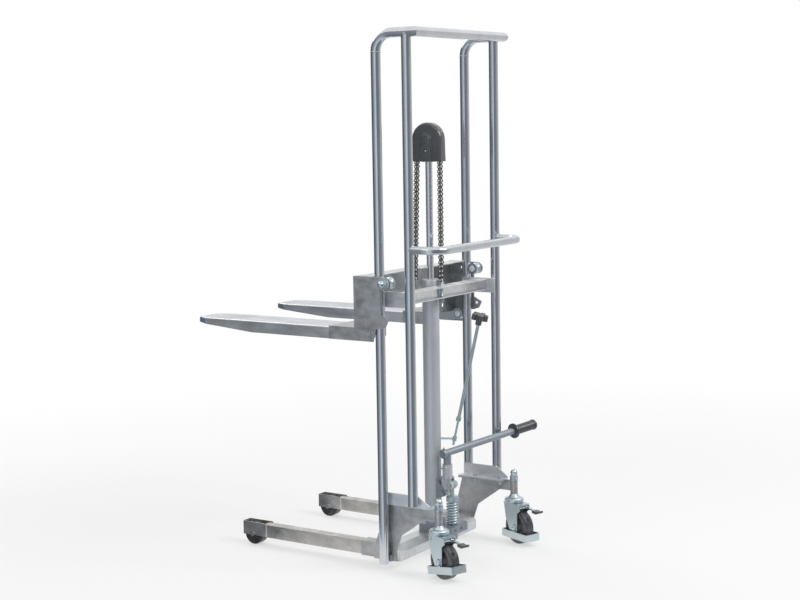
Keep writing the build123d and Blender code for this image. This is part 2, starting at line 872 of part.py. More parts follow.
with BuildPart() as bar_grip:
    with BuildSketch(Plane.XY):
        with BuildLine():
            Polyline(
                (grip_start, bar_d / 2),
                (grip_start, grip_guard_d / 2),
                (grip_start + grip_guard_t, grip_guard_d / 2),
                (grip_start + grip_guard_t + 3, grip_d / 2),
                (bar_end, grip_d / 2 + 2),
                (bar_end + grip_end, grip_d / 2 - 4),
                (bar_end + grip_end, 0),
                (bar_end, 0),
                (bar_end, bar_d / 2),
                close=True,
            )
        make_face()
    revolve(axis=Axis.X)
save(bar_grip.part.moved(bar_place * bar_frame), "bar_grip")

# Release rod and star knob, built upright and then leaned back
with BuildPart() as release_rod:
    post(release_thin_d / 2, 0, 0, (0, release_thin_length))
    post(collar_d / 2, 0, 0, (release_thin_length, release_thin_length + collar_height))
    post(release_d / 2, 0, 0, (release_thin_length, release_length))
release_place = Location((release_x, release_low_y, release_low_z), (release_tilt, 0, 0))
save(release_rod.part.moved(release_place), "release_rod")

with BuildPart() as release_knob:
    with BuildSketch(Plane.XY.offset(release_length)):
        Circle(knob_r * 0.68)
        with PolarLocations(knob_r * 0.7, knob_lobes):
            Circle(knob_r * 0.3)
    extrude(amount=knob_height)
    fillet(release_knob.faces().sort_by(Axis.Z)[-1].edges(), 4)
    post(hub_d / 2, 0, 0, (release_length - 18, release_length))
    post(release_d / 2, 0, 0, (release_length - 19, release_length), Mode.SUBTRACT)
save(release_knob.part.moved(release_place), "release_knob")


# Roller chain, alternate inner and outer links on the pin centres given
def link_face(p0, p1):
    way = atan2(p1[1] - p0[1], p1[0] - p0[0])
    span = hypot(p1[0] - p0[0], p1[1] - p0[1])
    end = link_end_r
    tip = span + end * 0.86
    shape = [(span / 2, link_waist), (span, end), (tip, end * 0.5), (tip, -end * 0.5)]
    shape += [(span, -end), (span / 2, -link_waist), (0, -end), (-end * 0.86, -end * 0.5)]
    shape += [(-end * 0.86, end * 0.5), (0, end)]
    return [
        (p0[0] + u * cos(way) - v * sin(way), p0[1] + u * sin(way) + v * cos(way))
        for u, v in shape
    ]


def polygon_at(p, r, count):
    return [(p[0] + r * cos(2 * pi * i / count), p[1] + r * sin(2 * pi * i / count)) for i in range(count)]


def faces_on(x, loops):
    with BuildSketch(Plane.YZ.offset(x)) as face:
        for loop in loops:
            with BuildLine():
                Polyline(*loop, close=True)
            make_face()
    return face.sketch


def strand(pins, outer_first, rolled, riveted):
    inner_links = []
    outer_links = []
    for i in range(len(pins) - 1):
        is_outer = (i % 2 == 0) == outer_first
        (outer_links if is_outer else inner_links).append(link_face(pins[i], pins[i + 1]))
    with BuildPart() as links:
        extrude(faces_on(-link_half, [polygon_at(p, chain_roller_r, 8) for p in rolled]), amount=link_inner)
        for side, s in sides:
            extrude(faces_on(low(s, link_half, outer_link_x), inner_links), amount=link_t)
            extrude(faces_on(low(s, outer_link_x, outer_link_x + link_t), outer_links), amount=link_t)
            pin_x = outer_link_x + link_t
            heads = [polygon_at(p, chain_pin_r, 6) for p in riveted]
            extrude(faces_on(low(s, pin_x, pin_x + chain_pin_stand), heads), amount=chain_pin_stand)
    return links.part


rear_pins = [(rear_strand_y, wheel_z - pitch * i) for i in range(rear_links + 1)]
save(strand(rear_pins, True, rear_pins[1:-1], rear_pins), "chain_rear")

strand_lean = asin((front_anchor_y - front_strand_y) / (pitch * front_links))
front_pins = [
    (front_strand_y + pitch * i * sin(strand_lean), wheel_z - pitch * i * cos(strand_lean))
    for i in range(front_links + 1)
]
save(strand(front_pins, True, front_pins[1:-1], front_pins), "chain_front")

wrap_pins = [
    (ram_y - wheel_r * cos(2 * pi * i / wheel_teeth), wheel_z + wheel_r * sin(2 * pi * i / wheel_teeth))
    for i in range(wheel_teeth // 2 + 1)
]
save(strand(wrap_pins, False, wrap_pins, wrap_pins[1:-1]), "chain_wrap")

# Piston rod, yoke and chain wheel
with BuildPart() as piston_rod:
    post(rod_d / 2, 0, ram_y, (rod_low_z, yoke_low_z))
    post(cylinder_bore / 2 - run_clear, 0, ram_y, (rod_low_z, rod_low_z + piston_length))
save(piston_rod.part, "piston_rod")

cheek_x = link_half + 2 * link_t + chain_pin_stand + 0.4
with BuildPart() as rod_yoke:
    with BuildSketch(Plane.YZ.offset(-cheek_x - yoke_t)):
        with Locations((ram_y, (yoke_low_z + wheel_z) / 2)):
            Rectangle(2 * yoke_half, wheel_z - yoke_low_z)
        with Locations((ram_y, wheel_z)):
            Circle(yoke_half)
    extrude(amount=2 * (cheek_x + yoke_t))
    slab(
        (-cheek_x, cheek_x),
        (ram_y - yoke_half - 1, ram_y + yoke_half + 1),
        (yoke_low_z + yoke_base, wheel_z + yoke_half + 1),
        Mode.SUBTRACT,
    )
    bar_x(wheel_axle_d / 2, (-cheek_x - yoke_t, cheek_x + yoke_t), ram_y, wheel_z)
save(rod_yoke.part, "rod_yoke")

with BuildPart() as chain_wheel:
    rim_r = wheel_r * cos(pi / wheel_teeth) - chain_roller_r - 0.3
    bar_x(rim_r, (-link_half + 0.2, link_half - 0.2), ram_y, wheel_z)
    bar_x(wheel_hub_r, (-cheek_x + 0.2, cheek_x - 0.2), ram_y, wheel_z)
    bar_x(wheel_axle_d / 2 + run_clear, (-cheek_x, cheek_x), ram_y, wheel_z, Mode.SUBTRACT)
save(chain_wheel.part, "chain_wheel")


# Chain cover, a moulded shell with a raised tongue on each face
def dome(plane, r, foot_z):
    with BuildSketch(plane) as face:
        with Locations((ram_y, (foot_z + wheel_z) / 2)):
            Rectangle(2 * r, wheel_z - foot_z)
        with Locations((ram_y, wheel_z)):
            Circle(r)
    return face.sketch


def tongue(plane):
    with BuildSketch(plane) as face:
        with BuildLine():
            Polyline(
                (ram_y - tongue_low, cover_low_z),
                (ram_y + tongue_low, cover_low_z),
                (ram_y + tongue_top, tongue_z),
                (ram_y - tongue_top, tongue_z),
                close=True,
            )
        make_face()
        with Locations((ram_y, tongue_z)):
            Circle(tongue_top)
    return face.sketch


with BuildPart() as chain_cover:
    extrude(dome(Plane.YZ.offset(-cover_half), cover_r, cover_low_z), amount=2 * cover_half)
    fillet(chain_cover.edges().filter_by(GeomType.CIRCLE), 4)
    extrude(tongue(Plane.YZ.offset(-cover_half - tongue_rise)), amount=2 * (cover_half + tongue_rise))
    inside = cover_half - cover_wall
    extrude(
        dome(Plane.YZ.offset(-inside), cover_r - cover_wall, cover_low_z - 1),
        amount=2 * inside,
        mode=Mode.SUBTRACT,
    )
    for side, s in sides:
        well_x = (s * (cover_half + tongue_rise - 2), s * (cover_half + tongue_rise))
        bar_x(screw_well_r, well_x, ram_y, screw_z, Mode.SUBTRACT)
save(chain_cover.part, "chain_cover")


# Chain anchors, a tongue between the link plates on a threaded rod with nuts
def anchor(y, pin_z, low_z, nuts, sleeve):
    with BuildPart() as rod:
        with BuildSketch(Plane.YZ.offset(tongue_gap - outer_link_x)):
            with Locations((y, pin_z)):
                Circle(chain_roller_r)
            with Locations((y, pin_z - link_end_r)):
                Rectangle(2 * chain_roller_r, 2 * link_end_r)
        extrude(amount=2 * (outer_link_x - tongue_gap))
        post(anchor_d / 2, 0, y, (low_z, pin_z - 1.4 * link_end_r))
        for z in nuts:
            extrude(hexagon(Plane.XY.offset(z), (0, y), nut_af), amount=nut_t)
        if sleeve:
            post(anchor_d * 0.8, 0, y, sleeve)
    return rod.part


beam_low_z = side_top_z - beam_height
channel_low_z = channel_top_z - channel_height
rear_nuts = [anchor_low_z + 3, anchor_low_z + 3 + nut_t, channel_top_z]
rear_sleeve = (anchor_low_z + 3 + 2 * nut_t, channel_low_z)
rear_pin_z = rear_pins[-1][1]
save(anchor(rear_strand_y, rear_pin_z, anchor_low_z, rear_nuts, rear_sleeve), "rear_chain_anchor")

front_nuts = [beam_low_z - nut_t, beam_low_z + beam_t]
front_pin_z = front_pins[-1][1]
save(anchor(front_anchor_y, front_pin_z, beam_low_z - 2 * nut_t, front_nuts, None), "front_chain_anchor")

# Carriage side plates with the upper rollers' pins
for side, s in sides:
    with BuildPart() as side_plate:
        with BuildSketch(Plane.YZ.offset(low(s, side_inner_x, side_outer_x))):
            with BuildLine():
                Polyline(
                    (side_front_y, side_low_z),
                    (side_front_y, side_top_z),
                    (-roller_reach, side_top_z),
                    (side_rear_y, upper_roller_z - lobe_r),
                    (side_rear_y, ear_top_z),
                    (ear_y, ear_tip_z),
                    (ear_low_y, side_low_z + 7),
                    (side_rear_y, side_low_z),
                    close=True,
                )
            make_face()
            with Locations((-roller_reach, upper_roller_z)):
                Circle(lobe_r)
            with Locations((ear_hole_y, ear_hole_z), (front_hole_y, upper_roller_z)):
                Circle(hole_d / 2, mode=Mode.SUBTRACT)
        extrude(amount=side_t)
        pin_x = (s * (mast_half - roller_half + roller_pin_recess), s * side_inner_x)
        bar_x(roller_pin_d / 2, pin_x, -roller_reach, upper_roller_z)
        spacer_x = (s * (mast_half + roller_half + 0.3), s * side_inner_x)
        bar_x(roller_pin_d * 0.8, spacer_x, -roller_reach, upper_roller_z)
        washer_x = side_outer_x + acorn_washer_t
        acorn_x = washer_x + acorn_t
        bar_x(acorn_washer_d / 2, (s * side_outer_x, s * washer_x), -roller_reach, upper_roller_z)
        nut_face = Plane.YZ.offset(low(s, washer_x, acorn_x))
        extrude(hexagon(nut_face, (-roller_reach, upper_roller_z), acorn_af), amount=acorn_t)
        with Locations((s * acorn_x, -roller_reach, upper_roller_z)):
            Sphere(acorn_r)
    save(side_plate.part, f"{side}_side_plate")

# Carriage beam, a channel that opens to the rear with a slot for the chain
with BuildPart() as carriage_beam:
    with BuildSketch(Plane.YZ.offset(-side_inner_x)):
        with Locations(((side_front_y + beam_rear_y) / 2, side_top_z - beam_height / 2)):
            Rectangle(side_front_y - beam_rear_y, beam_height)
        with Locations(((side_front_y + beam_rear_y) / 2 - beam_t, side_top_z - beam_height / 2)):
            Rectangle(side_front_y - beam_rear_y, beam_height - 2 * beam_t, mode=Mode.SUBTRACT)
    extrude(amount=2 * side_inner_x)
    slab(
        (-beam_notch, beam_notch),
        (beam_rear_y - 1, front_anchor_y + beam_notch),
        (side_top_z - beam_t - 1, side_top_z + 1),
        Mode.SUBTRACT,
    )
    anchor_hole_z = (beam_low_z - 1, beam_low_z + beam_t + 1)
    post(anchor_d / 2 + bolt_clear, 0, front_anchor_y, anchor_hole_z, Mode.SUBTRACT)
save(carriage_beam.part, "carriage_beam")

# Fork carriers, folded shoes over the fork roots with the lower rollers' pins, and the forks
fork_low_z = fork_top_z - fork_depth
carrier_inner_x = fork_inner_x - carrier_wall
carrier_outer_x = fork_outer_x + carrier_wall
for side, s in sides:
    with BuildPart() as carrier:
        carrier_x = (s * carrier_inner_x, s * carrier_outer_x)
        slab(carrier_x, (fork_root_y, carrier_front_y), (fork_low_z, side_low_z))
        slab(
            (s * fork_inner_x, s * fork_outer_x),
            (fork_root_y - 1, carrier_front_y + 1),
            (fork_low_z - 1, fork_top_z),
            Mode.SUBTRACT,
        )
        extrude(
            outline(
                Plane.YZ.offset(low(s, fork_outer_x, carrier_outer_x)),
                [
                    (carrier_rear_y, side_low_z),
                    (fork_root_y, side_low_z),
                    (fork_root_y, fork_low_z),
                    (carrier_rear_y + carrier_slant, fork_low_z),
                ],
            ),
            amount=carrier_wall,
        )
        pin_x = (s * (mast_half - roller_half + roller_pin_recess), s * fork_outer_x)
        bar_x(roller_pin_d / 2, pin_x, roller_reach, lower_roller_z)
        spacer_x = (s * (mast_half + roller_half + 0.3), s * fork_outer_x)
        bar_x(roller_pin_d * 0.8, spacer_x, roller_reach, lower_roller_z)
        head_face = Plane.YZ.offset(low(s, carrier_outer_x, carrier_outer_x + 6))
        extrude(hexagon(head_face, (roller_reach, lower_roller_z), nut_af), amount=6)
    save(carrier.part, f"{side}_fork_carrier")

    with BuildPart() as fork:
        with BuildSketch(Plane.XY.offset(fork_low_z)) as plan:
            with BuildLine():
                Polyline(
                    (s * fork_inner_x, fork_root_y),
                    (s * fork_outer_x, fork_root_y),
                    (s * fork_outer_x, fork_tip_y - fork_nose_y),
                    (s * (fork_outer_x - fork_nose_x), fork_tip_y),
                    (s * (fork_inner_x + fork_nose_x), fork_tip_y),
                    (s * fork_inner_x, fork_tip_y - fork_nose_y),
                    close=True,
                )
            make_face()
        extrude(amount=fork_depth)
        extrude(
            offset(plan.sketch, amount=-fork_wall, kind=Kind.INTERSECTION, mode=Mode.PRIVATE),
            amount=fork_depth - fork_wall,
            mode=Mode.SUBTRACT,
        )
        slab(
            (s * (fork_inner_x + fork_wall), s * (fork_outer_x - fork_wall)),
            (fork_root_y - 1, fork_root_y + 2 * fork_wall),
            (fork_low_z, fork_top_z - fork_wall),
            Mode.SUBTRACT,
        )
        extrude(
            outline(
                Plane.YZ.offset(low(s, fork_inner_x - 1, fork_outer_x + 1)),
                [
                    (fork_taper_y, fork_low_z - 1),
                    (fork_taper_y, fork_low_z),
                    (fork_tip_y + 1, fork_top_z - fork_tip_depth),
                    (fork_tip_y + 1, fork_low_z - 1),
                ],
            ),
            amount=fork_width + 2,
            mode=Mode.SUBTRACT,
        )
        slab(
            (s * (fork_inner_x - 1), s * (fork_outer_x + 1)),
            (fork_root_y - 1, carrier_front_y + shoe_lead),
            (fork_top_z - shoe_play, fork_top_z + 1),
            Mode.SUBTRACT,
        )
    save(fork.part, f"{side}_fork")

# Grooved rollers that run on the front uprights, two behind them and two before
roller_places = (("upper", -roller_reach, upper_roller_z), ("lower", roller_reach, lower_roller_z))
for level, place_y, place_z in roller_places:
    for side, s in sides:
        with BuildPart() as roller:
            bar_x(roller_flange_r, (-roller_half, roller_half), 0, 0)
            with BuildSketch(Plane.XY):
                with Locations((0, roller_reach)):
                    Circle(tube_r + groove_clear)
            revolve(axis=Axis.X, mode=Mode.SUBTRACT)
            bar_x(roller_pin_d / 2 + run_clear, (-roller_half, roller_half), 0, 0, Mode.SUBTRACT)
        save(roller.part.moved(Location((s * mast_half, place_y, place_z))), f"{level}_{side}_roller")

# Caster stems with nut, cap and upper race
with BuildPart() as caster_stems:
    for side, s in sides:
        washer_z = deck_z + stem_washer_t
        nut_top_z = deck_z + stem_nut_t
        cap_z = nut_top_z + stem_cap_low
        cap_rise = stem_cap_height - stem_cap_low
        with BuildSketch(Plane.XZ):
            with BuildLine():
                ThreePointArc(
                    (0, cap_z + cap_rise),
                    (stem_cap_d / 2 * sqrt(0.5), cap_z + cap_rise * sqrt(0.5)),
                    (stem_cap_d / 2, cap_z),
                )
                Polyline(
                    (stem_cap_d / 2, cap_z),
                    (stem_cap_d / 2 - 1.5, nut_top_z + 2),
                    (stem_cap_d / 2 - 1.5, nut_top_z),
                    (stem_washer_d / 2 - 1, nut_top_z),
                    (stem_washer_d / 2 - 1, nut_top_z - 3),
                    (stem_nut_af / 2, nut_top_z - 3),
                    (stem_nut_af / 2, washer_z),
                    (stem_washer_d / 2, washer_z),
                    (stem_washer_d / 2, deck_z),
                    (stem_d / 2, deck_z),
                    (stem_d / 2, socket_low_z),
                    (socket_d / 2, socket_low_z),
                    (socket_d / 2 + 3, socket_low_z - 6),
                    (socket_d / 2 + 8, cup_low_z + cup_rim + 4),
                    (cup_d / 2 - 3, cup_low_z + cup_rim),
                    (cup_d / 2, cup_low_z + cup_rim - 3),
                    (cup_d / 2, cup_low_z + 2),
                    (cup_d / 2 - 2, cup_low_z),
                    (0, cup_low_z),
                    (0, cap_z + cap_rise),
                )
            make_face()
        ring = revolve(axis=Axis.Z, mode=Mode.PRIVATE)
        add(ring.moved(Location((s * stem_half, stem_y, 0))))
        nut_face = hexagon(Plane.XY.offset(washer_z), (s * stem_half, stem_y), stem_nut_af)
        extrude(nut_face, amount=nut_top_z - 3 - washer_z)
save(caster_stems.part, "caster_stems")

# Casters, built straight at the origin, then turned to how they stand
cheek_in = hub_width / 2 + caster_cheek_gap
cheek_out = cheek_in + caster_cheek
plate_low_z = caster_plate_top_z - caster_plate_t
for side, s in sides:
    place = Location((s * stem_half, stem_y, 0), (0, 0, caster_turn))

    with BuildPart() as caster_fork:
        crown_x = (-cheek_out - 2, cheek_out + 2)
        slab(crown_x, (-caster_plate_back, caster_plate_front), (plate_low_z, caster_plate_top_z))
        fillet(caster_fork.edges().filter_by(Axis.Z), 8)
        post(race_d / 2, 0, 0, (caster_plate_top_z, cup_low_z - race_gap))
        for end in (-1, 1):
            with BuildSketch(Plane.YZ.offset(low(end, cheek_in, cheek_out))):
                with BuildLine():
                    Polyline(
                        (caster_plate_front - 5, plate_low_z),
                        (-caster_plate_back, plate_low_z),
                        (-caster_plate_back, brake_pivot_z - 10),
                        (-caster_trail - cheek_rear, brake_pivot_z - 20),
                        (-caster_trail - cheek_rear, caster_r - cheek_low),
                        (-caster_trail + cheek_toe, caster_r - cheek_low),
                        (caster_plate_front - cheek_knee, caster_r + cheek_knee_up),
                        close=True,
                    )
                make_face()
            extrude(amount=caster_cheek)
            head_face = Plane.YZ.offset(low(end, cheek_out, cheek_out + 6))
            extrude(hexagon(head_face, (-caster_trail, caster_r), caster_axle_d * 1.5), amount=6)
            rivet_x = (end * cheek_out, end * (cheek_out + rivet_head))
            bar_x(rivet_d / 2, rivet_x, caster_plate_front - 15, plate_low_z - 12)
        bar_x(caster_axle_d / 2, (-cheek_out, cheek_out), -caster_trail, caster_r)
        bar_x(brake_pin_d / 2, (-cheek_out, cheek_out), -brake_pivot, brake_pivot_z)
    save(caster_fork.part.moved(place), f"{side}_caster_fork")

    with BuildPart() as toe_guard:
        with BuildSketch(Plane.XY.offset(guard_low_z)):
            with Locations((0, (guard_front - guard_back) / 2)):
                RectangleRounded(guard_width, guard_front + guard_back, guard_corner)
                RectangleRounded(
                    guard_width - 2 * guard_wall,
                    guard_front + guard_back - 2 * guard_wall,
                    guard_corner - guard_wall,
                    mode=Mode.SUBTRACT,
                )
        extrude(amount=guard_height)
        for end in (-1, 1):
            slab(
                (end * cheek_out, end * (guard_width / 2 - guard_wall + 0.5)),
                (-caster_trail - 10, -caster_trail + 10),
                (guard_low_z + 2, caster_r - 12),
            )
    pitch = left_guard_pitch if side == "left" else 0
    hang = Location((0, -caster_trail, caster_r), (pitch, 0, 0)) * Location((0, caster_trail, -caster_r))
    save(toe_guard.part.moved(place * hang), f"{side}_toe_guard")

    with BuildPart() as tyre:
        with BuildSketch(Plane.XY):
            with Locations((0, caster_r - tyre_t / 2)):
                Rectangle(tyre_width, tyre_t)
            fillet(vertices().group_by(Axis.Y)[-1], tyre_round)
        revolve(axis=Axis.X)
    save(tyre.part.moved(place * Location((0, -caster_trail, caster_r))), f"{side}_caster_tyre")

    with BuildPart() as wheel_hub:
        hub_r = caster_r - tyre_t
        with BuildSketch(Plane.XY):
            with BuildLine():
                Polyline(
                    (-hub_width / 2, 0),
                    (-hub_width / 2, caster_axle_d),
                    (-hub_ring_t, caster_axle_d + 6),
                    (-hub_ring_t, hub_r - hub_ring_t),
                    (-tyre_width / 2 + 2, hub_r - hub_ring_t),
                    (-tyre_width / 2 + 2, hub_r),
                    (tyre_width / 2 - 2, hub_r),
                    (tyre_width / 2 - 2, hub_r - hub_ring_t),
                    (hub_ring_t, hub_r - hub_ring_t),
                    (hub_ring_t, caster_axle_d + 6),
                    (hub_width / 2, caster_axle_d),
                    (hub_width / 2, 0),
                    close=True,
                )
            make_face()
        revolve(axis=Axis.X)
        bar_x(caster_axle_d / 2 + run_clear, (-hub_width, hub_width), 0, 0, Mode.SUBTRACT)
    save(wheel_hub.part.moved(place * Location((0, -caster_trail, caster_r))), f"{side}_caster_hub")

    with BuildPart() as brake:
        boss_x = (brake_side - brake_arm / 2, brake_side + brake_arm / 2)
        bar_x(brake_pin_d * 0.9, boss_x, -brake_pivot, brake_pivot_z)
        arm_end = brake_pivot + brake_length - brake_pad_length
        extrude(
            outline(
                Plane.YZ.offset(brake_side - brake_arm / 2),
                [
                    (-brake_pivot, brake_pivot_z + 4),
                    (-arm_end - 6, brake_pivot_z - 3),
                    (-arm_end - 6, brake_pivot_z - 7),
                    (-brake_pivot, brake_pivot_z - 2),
                ],
            ),
            amount=brake_arm,
        )
        extrude(
            outline(
                Plane.YZ.offset(brake_side - brake_pad_width / 2),
                [
                    (-arm_end, brake_pivot_z - 2),
                    (-arm_end - brake_pad_length * 0.6, brake_pivot_z - 4),
                    (-arm_end - brake_pad_length, brake_pivot_z - 1),
                    (-arm_end - brake_pad_length, brake_pivot_z - 1 - brake_pad_t * 0.6),
                    (-arm_end - brake_pad_length * 0.6, brake_pivot_z - 4 - brake_pad_t),
                    (-arm_end, brake_pivot_z - 2 - brake_pad_t),
                ],
            ),
            amount=brake_pad_width,
        )
        bar_x(
            brake_pin_d / 2 + run_clear,
            (brake_side - brake_arm, brake_side + brake_arm),
            -brake_pivot,
            brake_pivot_z,
            Mode.SUBTRACT,
        )
    save(brake.part.moved(place), f"{side}_brake_pedal")
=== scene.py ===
import json
import math

import bmesh
import bpy
from bpy.props import FloatProperty, FloatVectorProperty, IntProperty, PointerProperty
from mathutils import Matrix, Vector


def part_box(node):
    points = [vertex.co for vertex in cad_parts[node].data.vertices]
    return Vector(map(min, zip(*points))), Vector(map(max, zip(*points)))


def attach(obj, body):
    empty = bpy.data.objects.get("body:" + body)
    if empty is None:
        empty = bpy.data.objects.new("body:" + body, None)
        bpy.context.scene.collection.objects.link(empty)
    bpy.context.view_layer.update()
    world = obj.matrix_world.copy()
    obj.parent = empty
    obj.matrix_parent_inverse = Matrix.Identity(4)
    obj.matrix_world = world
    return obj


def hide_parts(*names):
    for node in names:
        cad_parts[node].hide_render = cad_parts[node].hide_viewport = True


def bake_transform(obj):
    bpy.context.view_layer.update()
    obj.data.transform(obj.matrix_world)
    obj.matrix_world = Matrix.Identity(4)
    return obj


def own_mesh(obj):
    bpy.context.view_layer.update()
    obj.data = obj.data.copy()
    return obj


bl_info = {
    "name": "Hand pump stacker",
    "version": (1, 0, 0),
    "blender": (4, 5, 0),
    "location": "View3D > Sidebar > Stacker",
    "description": "Dresses the packed stacker with its chain, spring, welds, fittings and finishes",
    "category": "Object",
}

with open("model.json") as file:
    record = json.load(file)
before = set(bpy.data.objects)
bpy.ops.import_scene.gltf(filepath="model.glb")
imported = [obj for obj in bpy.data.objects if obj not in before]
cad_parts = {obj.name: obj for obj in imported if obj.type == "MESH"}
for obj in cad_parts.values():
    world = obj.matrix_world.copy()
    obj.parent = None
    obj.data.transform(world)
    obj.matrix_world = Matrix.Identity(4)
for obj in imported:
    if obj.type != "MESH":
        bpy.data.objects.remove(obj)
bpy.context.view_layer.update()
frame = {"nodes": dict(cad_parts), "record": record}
NODES = frame["nodes"]
SLOT_OF = {row["node"]: row["material_slot"] for row in frame["record"]["subparts"]}
BODY_OF = {node: body for body, members in frame["record"]["behaviour"]["bodies"].items() for node in members}
LEFT, RIGHT = -1, 1
SIDES = ((LEFT, "left"), (RIGHT, "right"))
X, Y, Z = range(3)

# Turned forms are given in millimetres, everything else in metres
MM = 1000
# Distance within which two places are the same
FINE = 0.00001


# Places read from the frame
def middle(node):
    low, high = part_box(node)
    return (low + high) / 2


def span(node, axis):
    low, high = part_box(node)
    return high[axis] - low[axis]


UPRIGHT_X = middle("right_front_upright").x
REAR_Y = middle("right_rear_upright").y
TUBE_R = span("right_front_upright", X) / 2
RAM_Y = middle("lift_cylinder").y
PUMP_Y = middle("pump_plunger").y
ROLLER_FACE = span("upper_right_roller", X) / 2

# Right caster's stem in X and Y, and the turn of both casters
STEM = (0.260, -0.209)
CASTER_TURN = math.radians(-21)

# Chain cover: half its thickness, and the height of its screws
COVER_HALF = 0.018
COVER_SCREW_Z = 1.438

# Mast bridge: its channel's height, and how far its top lies under the straps' top
CHANNEL_HEIGHT = 0.040
CHANNEL_DROP = 0.003

# The pump bar's own frame, X along the bar and Z across its top
BAR_SOCKET = (0, -0.084, 0.368)
BAR_TURN, BAR_RISE = math.radians(-16), math.radians(-5.4)
BAR_FRAME = (
    Matrix.Translation(BAR_SOCKET) @ Matrix.Rotation(BAR_TURN, 4, "Z") @ Matrix.Rotation(BAR_RISE, 4, "Y")
)

# A form of the right half as it is and mirrored to the left
MIRRORED = (Matrix(), Matrix.Scale(-1, 4, (1, 0, 0)))


# Colour from an sRGB hex value to the linear values that a shader reads
def linear(hex_value):
    channels = [int(hex_value[i:i + 2], 16) / 255 for i in (1, 3, 5)]
    return tuple(c / 12.92 if c <= 0.04045 else ((c + 0.055) / 1.055) ** 2.4 for c in channels)


def length_property(name, description, default):
    return FloatProperty(name=name, description=description, default=default, unit="LENGTH")


def colour_property(name, description, hex_value):
    return FloatVectorProperty(name=name, description=description, subtype="COLOR", default=linear(hex_value))


class StackerSizes(bpy.types.PropertyGroup):
    """Sizes of the pieces that dress the stacker"""

    chain_pitch: length_property("Chain pitch", "Distance between chain pins", 0.015875)
    plate_end: length_property("Link end", "Radius of a link plate round its pin", 0.0076)
    spring_wire: length_property("Spring wire", "Diameter of the pump spring's wire", 0.0053)
    spring_turns: IntProperty(name="Spring turns", description="Turns of the pump spring", default=8)
    bead: length_property("Weld bead", "Radius of a weld bead", 0.0017)
    edge: length_property("Edge", "Width of the broken edge on cut sheet", 0.0012)
    fork_fold: length_property("Fork fold", "Outer radius of the forks' folded top edges", 0.005)
    grip_ribs: IntProperty(name="Grip ribs", description="Ribs round the pump bar's grip", default=20)
    strap_height: length_property("Strap height", "Height of the mast bridge's straps", 0.054)


class StackerColours(bpy.types.PropertyGroup):
    """Base colours of the stacker's finishes"""

    tube: colour_property("Polished tube", "Mirror polished stainless", "#D6DADF")
    plate: colour_property("Stainless plate", "Brushed stainless sheet", "#E0E2E4")
    # This plate is the brushed sheet made brighter: the extra brightness is painted light, standing in for
    # the bright reflections on the foot angles and the mast bridge
    clean: colour_property("Plate painted brighter", "Brushed stainless sheet, brighter", "#FAFBFC")
    mottled: colour_property("Mottled plate", "Thick sheet, pickled", "#CACCCE")
    leg: colour_property("Leg tube", "Square tube of the legs, pickled", "#D8D6D3")
    paint: colour_property("Silver paint", "Paint on the pump, its bracket and its bar", "#969EA6")
    enamel: colour_property("Light paint", "Paint on the ram and the pump lever", "#C8CDD3")
    shield: colour_property("Roller shield", "Blasted shields on the mast rollers", "#EEF3F5")
    pins: colour_property("Chain pins", "Tumbled pins and rollers of the chain", "#F2F3F2")
    zinc: colour_property("Zinc plate", "Bright zinc on fittings", "#CFDADD")
    black: colour_property("Black moulding", "Moulded cover, knob and pads", "#3C4044")


# One node with its settings, its values and its links
def add_node(tree, kind, settings=(), values=(), links=()):
    node = tree.nodes.new(kind)
    for key, value in dict(settings).items():
        setattr(node, key, value)
    for key, value in dict(values).items():
        node.inputs[key].default_value = value
    for key, (source, socket) in dict(links).items():
        tree.links.new(source.outputs[socket], node.inputs[key])
    return node


# Two values joined by a sum, a product or the like
def combine(tree, operation, first, second):
    return add_node(tree, "ShaderNodeMath", {"operation": operation}, links={0: first, 1: second})


def node_material(name):
    material = bpy.data.materials.new(name)
    material.use_nodes = True
    return material


# Noise whose features are the given lengths in millimetres along the object's X, Y and Z
def grain(tree, x, y, z, detail=3.0, rough=0.6):
    place = add_node(tree, "ShaderNodeTexCoord")
    scale = {"Scale": (MM / x, MM / y, MM / z)}
    stretch = add_node(tree, "ShaderNodeMapping", values=scale, links={"Vector": (place, "Object")})
    values = {"Scale": 1.0, "Detail": detail, "Roughness": rough}
    return add_node(tree, "ShaderNodeTexNoise", values=values, links={"Vector": (stretch, "Vector")})


# A noise, whose values lie mostly between 0.3 and 0.7, spread between two limits
def spread(tree, noise, low, high):
    limits = {"From Min": 0.3, "From Max": 0.7, "To Min": low, "To Max": high}
    return add_node(tree, "ShaderNodeMapRange", values=limits, links={"Value": (grain(tree, *noise), "Fac")})


# Sockets of a mix node when it mixes colours
MIX_FACTOR, MIX_FIRST, MIX_SECOND, MIX_RESULT = 0, 6, 7, 2


# A finish of plain values, varied by noises: one for the roughness with its limits, one for the colour with
# its two tones, and one for the relief with its depth and strength
def surface(name, colour, metallic, roughness, sheen=(), limits=None, tones=None, relief=None):
    material = node_material(name)
    tree = material.node_tree
    sockets = tree.nodes["Principled BSDF"].inputs
    plain = {"Base Color": (*colour, 1), "Metallic": metallic, "Roughness": roughness, **dict(sheen)}
    for key, value in plain.items():
        sockets[key].default_value = value
    if limits:
        tree.links.new(spread(tree, *limits).outputs["Result"], sockets["Roughness"])
    if tones:
        noise, first, second = tones
        ends = {MIX_FIRST: (*first, 1), MIX_SECOND: (*second, 1)}
        share = spread(tree, noise, 0, 1)
        mix = add_node(tree, "ShaderNodeMix", {"data_type": "RGBA"}, ends, {MIX_FACTOR: (share, "Result")})
        tree.links.new(mix.outputs[MIX_RESULT], sockets["Base Color"])
    if relief:
        noise, depth, strength = relief
        values = {"Distance": depth, "Strength": strength}
        height = grain(tree, *noise)
        dents = add_node(tree, "ShaderNodeBump", values=values, links={"Height": (height, "Fac")})
        tree.links.new(dents.outputs["Normal"], sockets["Normal"])
    return material


def tinted(colour, shares):
    return tuple(c * share for c, share in zip(colour, shares))


def darker(colour, share):
    return tinted(colour, (share, share, share))


